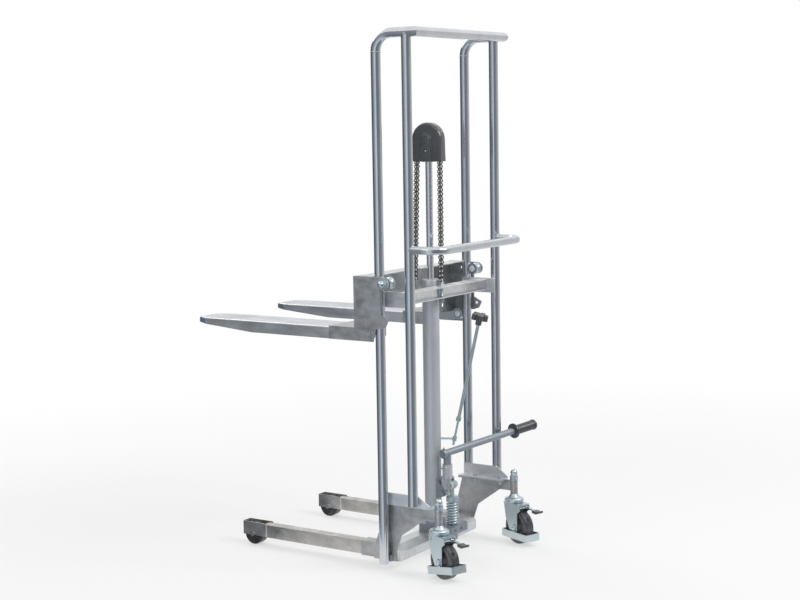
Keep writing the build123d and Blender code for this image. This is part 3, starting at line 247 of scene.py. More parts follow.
# Stainless tube, belt polished: bright, with faint lines along the tube that blur the reflections a little
def polished_stainless(colour):
    lines, clouds = (2.5, 2.5, 160), (45, 45, 140)
    return surface("StainlessTubePolished", colour, 1.0, 0.14, limits=(lines, 0.10, 0.20),
                   tones=(clouds, darker(colour, 0.88), colour), relief=(lines, 0.0002, 0.05))


# Stainless sheet, brushed: cool grey with fine lines along the forks, and faint cloudy handling marks
def brushed_stainless(name, colour):
    marks, rolling = (50, 120, 40, 5), (3, 90, 3)
    return surface(name, colour, 1.0, 0.36, limits=(marks, 0.28, 0.46),
                   tones=(marks, darker(colour, 0.76), colour), relief=(rolling, 0.0003, 0.12))


# Thick stainless, pickled after welding: dull, with dark cloudy stains and a little straw heat tint
def pickled_stainless(name, colour):
    stains, pits = (34, 46, 30, 8, 0.66), (5, 5, 5)
    return surface(name, colour, 1.0, 0.45, limits=(stains, 0.36, 0.56),
                   tones=(stains, tinted(colour, (0.60, 0.585, 0.565)), colour), relief=(pits, 0.0003, 0.12))


# Satin silver, of flake paint or of blasted or tumbled steel: a soft sheen over specks coarse enough to show
def satin_silver(name, colour):
    flakes, peel = (1.6, 1.6, 1.6, 1), (7, 7, 7)
    return surface(name, colour, 0.55, 0.42, limits=(peel, 0.34, 0.50),
                   tones=(flakes, darker(colour, 0.86), colour), relief=(peel, 0.0003, 0.10))


# Bright zinc plate: pale blue grey, with a cloudy passivated film
def zinc_plate(colour):
    film, pores = (22, 22, 22), (3, 3, 3)
    return surface("SteelZincPlated", colour, 1.0, 0.32, limits=(film, 0.27, 0.37),
                   tones=(film, tinted(colour, (0.88, 0.92, 0.95)), colour), relief=(pores, 0.0001, 0.03))


# Hard chrome on a ground rod: nearly a mirror, with fine rings from grinding
def ground_chrome():
    rings = (60, 60, 1.4)
    return surface("SteelRodChromed", linear("#E6E9ED"), 1.0, 0.08, limits=(rings, 0.05, 0.13),
                   relief=(rings, 0.0001, 0.05))


# Oiled chain steel: grey and slick, darker where oil has gathered; its dark grey is also painted shade, which
# sets the link plates off against the bright pins
def oiled_steel():
    colour, oil = linear("#868480"), (9, 9, 9, 4)
    return surface("ChainSteelOiled", colour, 1.0, 0.30, limits=(oil, 0.22, 0.46),
                   tones=(oil, darker(colour, 0.50), colour))


# Moulded ABS with a spark eroded grain: near black, with a sheen that greys it where it catches light
def moulded_black(colour):
    leather, scuffs = (1.3, 1.3, 1.3, 2), (18, 18, 18)
    sheen = {"Specular IOR Level": 1.0, "Coat Weight": 0.5, "Coat Roughness": 0.2}
    return surface("BlackABSGrained", colour, 0.0, 0.24, sheen, limits=(leather, 0.19, 0.30),
                   tones=(scuffs, darker(colour, 0.75), colour), relief=(leather, 0.0003, 0.12))


# Solid rubber: black with a worn grey bloom, and a sheen where it has rubbed smooth
def worn_rubber():
    colour, bloom = linear("#23252A"), (16, 16, 16, 5)
    sheen = {"Specular IOR Level": 1.0}
    return surface("RubberTreadWorn", colour, 0.0, 0.28, sheen, limits=(bloom, 0.22, 0.36),
                   tones=(bloom, colour, linear("#42454C")), relief=(bloom, 0.0003, 0.08))


# Nylon, turned or moulded: dark, with close tool rings and a soft gloss
def ringed_nylon(name, dark, light):
    rings = (1.5, 40, 40)
    return surface(name, linear(dark), 0.0, 0.2, limits=(rings, 0.14, 0.26),
                   tones=(rings, linear(dark), linear(light)), relief=(rings, 0.0001, 0.1))


# Machined brass: yellow, lightly tarnished
def turned_brass():
    return surface("BrassTurned", linear("#D0A94B"), 1.0, 0.28,
                   tones=((3, 3, 3), linear("#9C7A33"), linear("#DDB75A")))


# Weld metal, wire brushed: bright grey beads with straw coloured heat tint in the hollows
def weld_metal():
    tint = (6, 6, 6)
    return surface("StainlessWeldBrushed", linear("#CFCDC8"), 1.0, 0.3,
                   tones=(tint, linear("#A3977F"), linear("#D8D7D4")), relief=(tint, 0.0005, 0.2))


# Materials by the finishes' names, filled by the first operator
FINISH = {}

# Finishes that differ from a node's slot, by the ends of the nodes' names
DRESSED = {
    # The fork carriers take this darker finish partly for their thick pickled sheet and partly as painted
    # shade on their shaded faces
    "thick_plate": ("side_plate", "base_plate", "fork_carrier"),
    "leg_tube": ("left_leg", "right_leg"),
    "zinc_steel": ("brake_pedal", "left_roller", "right_roller"),
    "light_enamel": ("pump_lever", "lift_cylinder"),
    # The foot angles take the brushed sheet made brighter, as painted light
    "clean_sheet": ("foot_angle",),
}

# Sheet parts whose edges are eased
EASED = [
    f"{name}_{part}"
    for _, name in SIDES
    for part in ("fork", "leg", "foot_angle", "base_plate", "side_plate")
] + ["base_cross_member", "carriage_beam", "left_fork_carrier", "right_fork_carrier"]

# Studio cards by their direction from the object in degrees, measured from -X towards -Y
CARDS = (
    (0, "#D8E2EE"),
    (10, "#E2E8EE"),
    (24, "#D2D7DC"),
    (36, "#868A8F"),
    (55, "#7E8286"),
    (85, "#8B8F92"),
    (100, "#9FA1A2"),
    (122, "#BABCBE"),
    (150, "#D7D7D7"),
    (200, "#F4F4F4"),
    (222, "#E6E8EA"),
    (258, "#666D75"),
    (298, "#596069"),
    (314, "#84888D"),
    (334, "#94989D"),
    (347, "#B0BDCC"),
)


def finish_of(node):
    return next((finish for finish, ends in DRESSED.items() if node.endswith(ends)), SLOT_OF[node])


def deselect():
    if bpy.context.mode != "OBJECT":
        bpy.ops.object.mode_set(mode="OBJECT")
    bpy.ops.object.select_all(action="DESELECT")


# Leaves only this object selected and active
def activate(piece):
    deselect()
    piece.select_set(True)
    bpy.context.view_layer.objects.active = piece
    return piece


# Puts an object's place, turn and scale into its mesh
def settle(piece):
    activate(piece)
    bpy.ops.object.transform_apply(location=True, rotation=True, scale=True)
    return piece


# A primitive with its place in its mesh
def start(primitive, **settings):
    deselect()
    primitive(**settings)
    return settle(bpy.context.object)


def block(place, size):
    return start(bpy.ops.mesh.primitive_cube_add, size=1, location=place, scale=size)


def circle(corners, radius, place=(0, 0, 0), turn=(0, 0, 0), fill="NGON"):
    return start(
        bpy.ops.mesh.primitive_circle_add,
        vertices=corners,
        radius=radius,
        fill_type=fill,
        location=place,
        rotation=turn,
    )


# A round bar along X
def cross_bar(corners, radius, length, place):
    return start(
        bpy.ops.mesh.primitive_cylinder_add,
        vertices=corners,
        radius=radius,
        depth=length,
        location=place,
        rotation=(0, math.pi / 2, 0),
    )


# Selects what passes the test, in edit mode
def pick(kind, test):
    bpy.ops.mesh.select_mode(type={"verts": "VERT", "edges": "EDGE", "faces": "FACE"}[kind])
    mesh = bpy.context.object.data
    shape = bmesh.from_edit_mesh(mesh)
    for group in (shape.verts, shape.edges, shape.faces):
        for item in group:
            item.select_set(False)
    for item in getattr(shape, kind):
        if test(item):
            item.select_set(True)
    shape.select_flush_mode()
    bmesh.update_edit_mesh(mesh)


def pick_all():
    bpy.ops.mesh.select_all(action="SELECT")


def extrude(x, y, z):
    bpy.ops.mesh.extrude_region_move(TRANSFORM_OT_translate={"value": (x, y, z)})


# How far an edge runs along an axis
def run(edge, axis):
    first, last = edge.verts
    return abs(first.co[axis] - last.co[axis])


def edit(piece):
    activate(piece)
    bpy.ops.object.mode_set(mode="EDIT")


def outward(piece):
    edit(piece)
    pick_all()
    bpy.ops.mesh.remove_doubles(threshold=FINE / 2)
    bpy.ops.mesh.normals_make_consistent(inside=False)
    deselect()
    return piece


def modify(piece, kind, **settings):
    activate(piece)
    modifier = piece.modifiers.new(kind.lower(), kind)
    for key, value in settings.items():
        setattr(modifier, key, value)
    bpy.ops.object.modifier_apply(modifier=modifier.name)
    return piece


# Breaks the edges that turn by more than an angle in degrees
def ease(piece, width, angle):
    limit = math.radians(angle)
    return modify(piece, "BEVEL", width=width, segments=2, limit_method="ANGLE", angle_limit=limit)


# Copies with their own meshes, each placed by a matrix
def copies(piece, places):
    made = []
    for place in places:
        twin = piece.copy()
        twin.data = piece.data.copy()
        bpy.context.scene.collection.objects.link(twin)
        twin.matrix_world = place
        made.append(settle(twin))
    bpy.data.objects.remove(piece)
    return made


# A copy for each side with the side's name, placed by a function of the side
def on_both_sides(piece, place):
    made = copies(piece, [place(side) for side, _ in SIDES])
    return [(name, twin) for (_, name), twin in zip(SIDES, made)]


def join(parts):
    deselect()
    for part in parts:
        part.select_set(True)
    bpy.context.view_layer.objects.active = parts[0]
    bpy.ops.object.join()
    return bpy.context.object


# Names a piece and gives it its finish, its shading and the body that it moves with
def finish_piece(piece, name, body, finish, smooth=35, weighted=False):
    settle(piece)
    piece.name = name
    piece.data.name = name
    piece.data.materials.clear()
    piece.data.materials.append(FINISH[finish])
    bpy.ops.object.shade_smooth_by_angle(angle=math.radians(smooth))
    if weighted:
        modify(piece, "WEIGHTED_NORMAL", keep_sharp=True)
    if body:
        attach(piece, body)
    return piece


def at(x, y, z):
    return Matrix.Translation((x, y, z))


# Turns a form that stands along Z to lie along X, to the right or the left
def along_x(side):
    return Matrix.Rotation(side * math.pi / 2, 4, "Y")


# A turned form about Z, from radii and heights in millimetres, closed at both ends
def turned(rings, corners=28):
    radius, height = rings[0]
    piece = circle(corners, radius / MM, (0, 0, height / MM))
    edit(piece)
    pick_all()
    for wide, high in rings[1:]:
        extrude(0, 0, (high - height) / MM)
        bpy.ops.transform.resize(value=(wide / radius, wide / radius, 1), center_override=(0, 0, high / MM))
        radius, height = wide, high
    return outward(piece)


# A hexagon head from the width across its flats, between two heights in millimetres
def hex_head(flats, low, high):
    corner = flats / math.sqrt(3)
    return turned(((corner * 0.93, low), (corner, low + 0.6), (corner, high - 0.9), (corner * 0.9, high)), 6)


def caster_place(side):
    return at(side * STEM[X], STEM[Y], 0) @ Matrix.Rotation(CASTER_TURN, 4, "Z")


class STACKER_OT_finishes(bpy.types.Operator):
    """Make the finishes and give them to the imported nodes"""

    bl_idname = "stacker.finishes"
    bl_label = "Finishes"

    def execute(self, context):
        colours = context.scene.stacker_colours
        FINISH.update(
            polished_tube=polished_stainless(colours.tube),
            stainless_plate=brushed_stainless("StainlessSheetBrushed", colours.plate),
            clean_sheet=brushed_stainless("StainlessSheetCleanBrushed", colours.clean),
            thick_plate=pickled_stainless("StainlessSheetPickled", colours.mottled),
            leg_tube=pickled_stainless("StainlessLegPickled", colours.leg),
            cylinder_silver=satin_silver("SilverEnamelSprayed", colours.paint),
            light_enamel=satin_silver("LightSilverEnamelSprayed", colours.enamel),
            shield=satin_silver("SteelShieldBlasted", colours.shield),
            bright_pins=satin_silver("SteelPinTumbled", colours.pins),
            zinc_steel=zinc_plate(colours.zinc),
            chrome_rod=ground_chrome(),
            chain_steel=oiled_steel(),
            black_plastic=moulded_black(colours.black),
            caster_tyre=worn_rubber(),
            wheel_hub=ringed_nylon("NylonHubMoulded", "#626365", "#767677"),
            nylon_roller=ringed_nylon("NylonRollerTurned", "#2B2C2E", "#3D3E40"),
            brass=turned_brass(),
            weld=weld_metal(),
        )
        FINISH["spring_steel"] = FINISH["zinc_steel"]
        for name, node in NODES.items():
            for slot in node.material_slots:
                slot.material = FINISH[finish_of(name)]
        return {"FINISHED"}


class STACKER_OT_chain(bpy.types.Operator):
    """Two strands of roller chain from the wheel to their anchors"""

    bl_idname = "stacker.chain"
    bl_label = "Chain strands"

    LINKS = 31
    # Half the gap between inner plates, a plate's thickness, and how far a pin stands out of the outer plates
    INNER_HALF, SHEET, STAND = 0.0047, 0.0020, 0.0018
    PIN_R, ROLLER_R = 0.0030, 0.0051
    # A plate's waist as a share of its ends, and how much the ends of a pin bulge together
    WAIST, BULGE = 0.40, 0.0006

    # One pair of waisted link plates, outside the given half width
    def plates(self, sizes, inside):
        pitch = sizes.chain_pitch
        plate = circle(14, sizes.plate_end, turn=(math.pi / 2, 0, math.pi / 2))
        edit(plate)
        pick("verts", lambda v: v.co.z < 0)
        bpy.ops.transform.translate(value=(0, 0, -pitch))
        pick("edges", lambda e: run(e, Z) > pitch * 0.8)
        bpy.ops.mesh.subdivide(number_cuts=1)
        pick("verts", lambda v: abs(v.co.z + pitch / 2) < pitch * 0.05)
        bpy.ops.transform.resize(value=(1, self.WAIST, 1), center_override=(0, 0, -pitch / 2))
        pick_all()
        extrude(self.SHEET, 0, 0)
        pick_all()
        bpy.ops.transform.translate(value=(inside, 0, 0))
        outward(plate)
        return outward(modify(plate, "MIRROR"))

    # Pins or rollers at both ends of a link
    def crossings(self, sizes, radius, width, corners):
        made = []
        for step in (0, 1):
            pin = cross_bar(corners, radius, width, (0, 0, -step * sizes.chain_pitch))
            edit(pin)
            pick("faces", lambda f: abs(f.normal.x) > 0.9)
            bpy.ops.mesh.inset(thickness=radius * 0.25)
            bpy.ops.transform.resize(value=(1.0 + self.BULGE / width, 1, 1))
            deselect()
            made.append(pin)
        return made

    # Link plates, and pins with rollers, down from the wheel
    def strand(self, sizes):
        pitch = sizes.chain_pitch
        outer = self.plates(sizes, self.INNER_HALF + self.SHEET)
        inner = self.plates(sizes, self.INNER_HALF)
        pins = self.crossings(sizes, self.PIN_R, 2 * (self.INNER_HALF + 2 * self.SHEET + self.STAND), 10)
        rollers = join(pins + self.crossings(sizes, self.ROLLER_R, 2 * self.INNER_HALF, 16))
        inner.location.z = -pitch
        settle(inner)
        outer_count, inner_count = (self.LINKS + 1) // 2, self.LINKS // 2
        for part, count in ((outer, outer_count), (inner, inner_count), (rollers, outer_count)):
            modify(part, "ARRAY", count=count, use_relative_offset=False,
                   use_constant_offset=True, constant_offset_displace=(0, 0, -2 * pitch))
        return join([outer, inner]), rollers

    def execute(self, context):
        sizes = context.scene.stacker_sizes
        wheel = middle("chain_wheel")
        length = self.LINKS * sizes.chain_pitch
        for node, body in (("chain_rear", "frame"), ("chain_front", "carriage")):
            low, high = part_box(node)
            rear = node == "chain_rear"
            top_y = (low.y + high.y) / 2 if rear else low.y + sizes.plate_end
            foot_y = top_y if rear else high.y - sizes.plate_end
            lean = math.asin((foot_y - top_y) / length)
            links, rollers = self.strand(sizes)
            for part, name, finish in ((links, "links", "chain_steel"), (rollers, "rollers", "bright_pins")):
                part.matrix_world = at(0, top_y, wheel.z) @ Matrix.Rotation(lean, 4, "X")
                finish_piece(part, f"{node}_{name}", None, finish)
                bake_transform(part)
            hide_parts(node)
        return {"FINISHED"}


class STACKER_OT_spring(bpy.types.Operator):
    """The pump's return spring, one coiled wire with ground ends"""

    bl_idname = "stacker.spring"
    bl_label = "Pump spring"

    # From the coil's outside to the middle of its wire, the play at each end, and the rise of an end's tail
    INSET, PLAY, TAIL_RISE = 0.0026, 0.0004, 0.0003

    def execute(self, context):
        sizes = context.scene.stacker_sizes
        wire = sizes.spring_wire
        low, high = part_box("pump_spring")
        mean = (high.x - low.x) / 2 - self.INSET
        rise = (high.z - low.z - wire - 2 * self.PLAY) / sizes.spring_turns
        spring = circle(14, wire / 2, (mean, 0, 0), (math.pi / 2, 0, 0), fill="NOTHING")
        modify(spring, "SCREW", angle=2 * math.pi, screw_offset=rise, iterations=sizes.spring_turns,
               steps=36, render_steps=36, use_merge_vertices=True)
        top = rise * sizes.spring_turns
        edit(spring)
        for level, way in ((0, -1), (top, 1)):
            pick("verts", lambda v: abs(v.co.z - level) < wire * 0.6 and abs(v.co.y) < FINE and v.co.x > 0)
            extrude(0, way * wire, way * self.TAIL_RISE)
        pick_all()
        bpy.ops.mesh.fill_holes(sides=0)
        outward(spring)
        spring.location = (0, PUMP_Y, low.z + wire / 2 + self.PLAY)
        finish_piece(spring, "pump_spring_wire", "frame", "spring_steel", smooth=60)
        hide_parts("pump_spring")
        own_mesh(spring)
        return {"FINISHED"}


class STACKER_OT_weld_rings(bpy.types.Operator):
    """Weld beads round the tube joints of the mast and the push handle"""

    bl_idname = "stacker.weld_rings"
    bl_label = "Tube welds"

    SEGMENTS = 60
    # How far from its joint a bead's line starts, over a rear upright's end and behind a rear upright
    ABOVE, BEHIND = 0.02, 0.05

    # A rippled ring round a tube that stands upright
    def ring(self, radius, bead):
        ring = start(
            bpy.ops.mesh.primitive_torus_add,
            major_segments=self.SEGMENTS,
            minor_segments=8,
            major_radius=radius,
            minor_radius=bead,
        )
        edit(ring)
        step = 2 * math.pi / self.SEGMENTS
        pick("verts", lambda v: round(math.atan2(v.co.y, v.co.x) / step) % 2 == 0)
        bpy.ops.transform.shrink_fatten(value=bead * 0.22)
        deselect()
        return ring

    # A bead along the line where one tube ends on another
    def saddle(self, target, radius, place, turn, axis, bead):
        line = circle(72, radius, place, turn, fill="NOTHING")
        modify(line, "SHRINKWRAP", target=NODES[target], wrap_method="PROJECT", use_negative_direction=True,
               use_positive_direction=True, **{f"use_project_{axis}": True})
        activate(line)
        bpy.ops.object.convert(target="CURVE")
        line.data.bevel_depth = bead
        line.data.bevel_resolution = 2
        bpy.ops.object.convert(target="MESH")
        return outward(bpy.context.object)

    def execute(self, context):
        bead = context.scene.stacker_sizes.bead
        elbow_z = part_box("right_front_upright")[1].z
        handle_z = middle("push_handle").z
        handle_r = span("push_handle", Z) / 2
        beads = []
        for side, name in SIDES:
            x = side * UPRIGHT_X
            ring = self.ring(TUBE_R - bead * 0.35, bead)
            ring.location = (x, 0, elbow_z)
            over = (x, REAR_Y, elbow_z + self.ABOVE)
            behind = (x, REAR_Y - self.BEHIND, handle_z)
            beads += [
                settle(ring),
                self.saddle("top_frame", TUBE_R * 0.97, over, (0, 0, 0), "z", bead),
                self.saddle(f"{name}_rear_upright", handle_r * 1.02, behind, (math.pi / 2, 0, 0), "y", bead),
            ]
        finish_piece(join(beads), "tube_welds", "frame", "weld", smooth=60)
        return {"FINISHED"}


class STACKER_OT_plate_welds(bpy.types.Operator):
    """Weld beads along the seams of the sheet parts"""

    bl_idname = "stacker.plate_welds"
    bl_label = "Plate welds"

    # Seams of the right half in millimetres: direction, first point and length
    FRAME = (
        ("Z", 270.9, 6.6, 233, 36), ("Z", 270.9, -6.6, 233, 36),
        ("Z", 270.9, -115.4, 243, 26), ("Z", 270.9, -128.6, 243, 26),
        ("Z", 270.9, 6.6, 919, 48), ("Z", 270.9, -6.6, 919, 48),
        ("Z", 270.9, -115.4, 919, 48), ("Z", 270.9, -128.6, 919, 48),
        ("Z", 264.8, -56.6, 929, 36), ("Y", 264.8, -104, 967.3, 46),
        ("Y", 257.2, -140, 223.6, 140), ("Y", 257.0, -22, 82.4, 42),
        ("Z", 257.3, -196, 192, 36), ("Z", 262.7, -196, 192, 36),
        ("X", 217, 117.5, 80.9, 36), ("Z", 255.4, 117.5, 36, 42), ("Z", 214.6, 117.5, 36, 42),
    )
    CARRIAGE = (
        ("Y", 308, 30, 1022.2, 58), ("Z", 308, 90.2, 944, 76), ("Y", 307.4, 30, 941.6, 58),
        ("Y", 307.5, 64, 845.4, 24), ("X", 166, 201.2, 841.4, 136),
    )
    # Length of a ripple in millimetres
    RIPPLE = 2.4

    # A straight bead, swollen at each ripple
    def bead(self, length, radius):
        steps = 2 * max(4, round(length / self.RIPPLE)) - 1
        rings = [(radius * 0.45, 0), (radius * 0.9, 0.5)]
        for i in range(1, steps):
            rings.append((radius * (1.12 if i % 2 else 0.88), length * i / steps))
        return turned(rings + [(radius * 0.9, length - 0.5), (radius * 0.45, length)], 8)

    # Places of the seams of one length, on both sides
    def places(self, seams, length):
        found = []
        for way, x, y, z, seam_length in seams:
            for side, _ in SIDES:
                turn = {"X": along_x(side), "Y": Matrix.Rotation(-math.pi / 2, 4, "X"), "Z": Matrix()}[way]
                if seam_length == length:
                    found.append(at(side * x / MM, y / MM, z / MM) @ turn)
        return found

    def execute(self, context):
        radius = context.scene.stacker_sizes.bead * MM
        for body, seams in (("frame", self.FRAME), ("carriage", self.CARRIAGE)):
            beads = []
            for length in sorted({seam[-1] for seam in seams}):
                beads += copies(self.bead(length, radius), self.places(seams, length))
            finish_piece(join(beads), f"{body}_welds", body, "weld", smooth=60)
        return {"FINISHED"}


class STACKER_OT_mast_bridge(bpy.types.Operator):
    """Channel across the mast, open to the rear, between two straps"""

    bl_idname = "stacker.mast_bridge"
    bl_label = "Mast bridge"

    CHANNEL_Y, CHANNEL_DEPTH, WALL = -0.081, 0.048, 0.004
    STRAP, CORNER = 0.005, 0.003

    def execute(self, context):
        sizes = context.scene.stacker_sizes
        low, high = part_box("mast_bridge")
        inside = UPRIGHT_X - TUBE_R - self.STRAP
        channel = block(
            (0, self.CHANNEL_Y, high.z - CHANNEL_DROP - CHANNEL_HEIGHT / 2),
            (2 * inside, self.CHANNEL_DEPTH, CHANNEL_HEIGHT),
        )
        edit(channel)
        pick("faces", lambda f: f.normal.y < -0.9)
        bpy.ops.mesh.inset(thickness=self.WALL)
        extrude(0, self.CHANNEL_DEPTH - self.WALL, 0)
        parts = [ease(outward(channel), sizes.edge, 40)]
        for side, _ in SIDES:
            plate = block(
                (side * (inside + self.STRAP / 2), (low.y + high.y) / 2, high.z - sizes.strap_height / 2),
                (self.STRAP, high.y - low.y, sizes.strap_height),
            )
            edit(plate)
            pick("edges", lambda e: run(e, X) > self.STRAP * 0.8)
            bpy.ops.mesh.bevel(offset=self.CORNER, segments=3)
            parts.append(ease(outward(plate), sizes.edge, 40))
        bridge = join(parts)
        # The bridge takes the brushed sheet made brighter, as painted light on its channel and straps
        finish_piece(bridge, "mast_bridge_folded", "frame", "clean_sheet", smooth=20)
        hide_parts("mast_bridge")
        return {"FINISHED"}


class STACKER_OT_fork_shanks(bpy.types.Operator):
    """Plates between the carriage beam and the root of each fork"""

    bl_idname = "stacker.fork_shanks"
    bl_label = "Fork shanks"

    # A plate's thickness, what it laps over its neighbours in all, and its rounded corner
    SHEET, LAP, CORNER = 0.006, 0.001, 0.0015

    def execute(self, context):
        fork_low, fork_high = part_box("right_fork")
        beam_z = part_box("carriage_beam")[0].z
        root_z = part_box("right_fork_carrier")[1].z
        height = beam_z - root_z
        shank = block(
            ((fork_low.x + fork_high.x) / 2, fork_low.y + self.SHEET / 2, (root_z + beam_z) / 2),
            (fork_high.x - fork_low.x, self.SHEET, height + self.LAP),
        )
        edit(shank)
        pick("edges", lambda e: run(e, Z) > height / 2 and e.verts[0].co.x < fork_low.x + FINE)
        bpy.ops.mesh.bevel(offset=self.CORNER, segments=3)
        outward(shank)
        for (_, name), piece in zip(reversed(SIDES), copies(shank, MIRRORED)):
            outward(piece)
            finish_piece(piece, f"{name}_fork_shank", "carriage", "thick_plate", smooth=20)
        return {"FINISHED"}


class STACKER_OT_sheet_edges(bpy.types.Operator):
    """Sheet parts with their cut and folded edges eased"""

    bl_idname = "stacker.sheet_edges"
    bl_label = "Sheet edges"

    # Merges doubled corners and flat faces, in edit mode
    def simplify(self):
        pick_all()
        bpy.ops.mesh.remove_doubles(threshold=FINE)
        bpy.ops.mesh.dissolve_limited(angle_limit=math.radians(0.5))

    # A fork's top edges, folded round a larger radius but cut square at the root
    def roll_fork(self, root, top, radius):
        pick("verts", lambda v: v.co.z > top - 0.001)
        bpy.ops.transform.resize(value=(1, 1, 0), center_override=(0, 0, top))
        self.simplify()
        pick("edges", lambda e: all(v.co.z > top - 0.0001 for v in e.verts)
             and any(v.co.y > root + 0.001 for v in e.verts))
        bpy.ops.mesh.bevel(offset=radius, segments=6)

    def execute(self, context):
        sizes = context.scene.stacker_sizes
        for name in EASED:
            piece = bpy.data.objects.new(name, NODES[name].data.copy())
            context.scene.collection.objects.link(piece)
            edit(piece)
            self.simplify()
            if name.endswith("fork"):
                low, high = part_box(name)
                self.roll_fork(low.y, high.z, sizes.fork_fold)
            outward(ease(piece, sizes.edge, 32))
            finish_piece(piece, f"{name}_eased", BODY_OF[name], finish_of(name),
                         smooth=20, weighted=True)
            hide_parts(name)
        return {"FINISHED"}


class STACKER_OT_rear_anchor(bpy.types.Operator):
    """Threaded anchor of the rear chain, with its tongue and nuts on the mast bridge"""

    bl_idname = "stacker.rear_anchor"
    bl_label = "Rear chain anchor"

    # In millimetres: the rod under the channel, its plain top with the tongue, and the thread's pitch
    TAIL, PLAIN, PITCH = 37, 20, 1.9
    NUT_FLATS, NUT_HEIGHT = 19, 9.6
    TONGUE_R, TONGUE_WIDTH, TONGUE_LENGTH = 5.1, 12.6, 12.5

    # The tongue's round head with its centre at a height, drawn down to the rod
    def tongue(self, centre):
        tongue = cross_bar(24, self.TONGUE_R / MM, self.TONGUE_WIDTH / MM, (0, 0, centre))
        edit(tongue)
        pick("verts", lambda v: v.co.z < centre + 0.0001)
        bpy.ops.transform.translate(value=(0, 0, -self.TONGUE_LENGTH / MM))
        return ease(outward(tongue), 0.0006, 50)

    def execute(self, context):
        low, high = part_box("rear_chain_anchor")
        top = high.z * MM
        bridge_high = (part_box("mast_bridge")[1].z - CHANNEL_DROP) * MM
        bridge_low = bridge_high - CHANNEL_HEIGHT * MM
        foot = bridge_low - self.TAIL
        thread = top - self.PLAIN - foot
        turns = round(thread / self.PITCH)
        rings = [(4.6, foot), (5.4, foot + 0.8)]
        for i in range(1, turns):
            crest = foot + 0.8 + thread * i / turns
            rings += [(5.3, crest - 0.5), (6.0, crest)]
        rings += [(6.0, top - 18), (5.4, top - 14)]
        nuts = [
            hex_head(self.NUT_FLATS, z, z + self.NUT_HEIGHT)
            for z in (bridge_low - 20, bridge_low - 10, bridge_high + 0.2)
        ]
        anchor = join([turned(rings, 20), self.tongue((top - self.TONGUE_R) / MM)] + nuts)
        anchor.location.y = (low.y + high.y) / 2
        finish_piece(anchor, "rear_chain_anchor_threaded", "frame", "zinc_steel")
        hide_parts("rear_chain_anchor")
        return {"FINISHED"}


class STACKER_OT_gland_nut(bpy.types.Operator):
    """Gland nut round the top of the lift cylinder"""

    bl_idname = "stacker.gland_nut"
    bl_label = "Gland nut"

    # Radii, and heights over the cylinder's top, in millimetres
    RINGS = (
        (31, -46.2), (33.3, -45.8), (33.4, -45), (33.4, -31.6), (32.7, -31), (32.7, -29.4), (33.4, -28.8),
        (33.4, -3), (32.4, -0.6), (30, 0.4), (22, 0.4), (20.5, -0.6), (18, -0.6),
    )

    def execute(self, context):
        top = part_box("lift_cylinder")[1].z * MM
        nut = turned([(radius, top + rise) for radius, rise in self.RINGS], 40)
        nut.location.y = RAM_Y
        finish_piece(nut, "gland_nut", "frame", "light_enamel")
        return {"FINISHED"}


class STACKER_OT_acorn_nuts(bpy.types.Operator):
    """Acorn nuts with washers on the upper roller pins"""

    bl_idname = "stacker.acorn_nuts"
    bl_label = "Acorn nuts"

    # The right pin on the outer face of its side plate
    PIN = (0.314, -0.033, 1.0)
    WASHER = ((14.6, 0), (15.3, 0.5), (15.3, 2.6), (14.7, 3.2), (8, 3.3))
    CAP = (
        (11.2, 13.8), (11.2, 14.8), (10.9, 17), (10, 19.6), (8.3, 22), (5.6, 24), (2.6, 24.9), (0.6, 25.1),
    )

    def execute(self, context):
        x, y, z = self.PIN
        nut = join([turned(self.WASHER), hex_head(24.4, 3.2, 14.4), turned(self.CAP)])
        for name, piece in on_both_sides(nut, lambda side: at(side * x, y, z) @ along_x(side)):
            finish_piece(piece, f"{name}_acorn_nut", "carriage", "zinc_steel")
        return {"FINISHED"}


class STACKER_OT_roller_faces(bpy.types.Operator):
    """Bearing seals and shields on the inner faces of the mast rollers"""

    bl_idname = "stacker.roller_faces"
    bl_label = "Roller faces"

    SEAL = ((14.2, 0), (14.6, 0.1), (14.6, 0.3), (14.2, 0.4), (8, 0.4))
    SHIELD = ((12.0, 0), (12.2, 0.3), (12.0, 0.8), (11.4, 1.0), (2.6, 1.0), (2.1, 0.5), (0.4, 0.5))

    def execute(self, context):
        bodies = [f"{level}_{name}_roller" for level in ("upper", "lower") for _, name in SIDES]
        places = []
        for body in bodies:
            hub = middle(body)
            side = RIGHT if hub.x > 0 else LEFT
            places.append(at(hub.x - side * ROLLER_FACE, hub.y, hub.z) @ along_x(-side))
        for rings, name, finish, slot in (
            (self.SEAL, "seal", "caster_tyre", "caster_tyre"),
            (self.SHIELD, "shield", "shield", "zinc_steel"),
        ):
            for body, piece in zip(bodies, copies(turned(rings), places)):
                finish_piece(piece, f"{body}_{name}", body, finish)
        return {"FINISHED"}


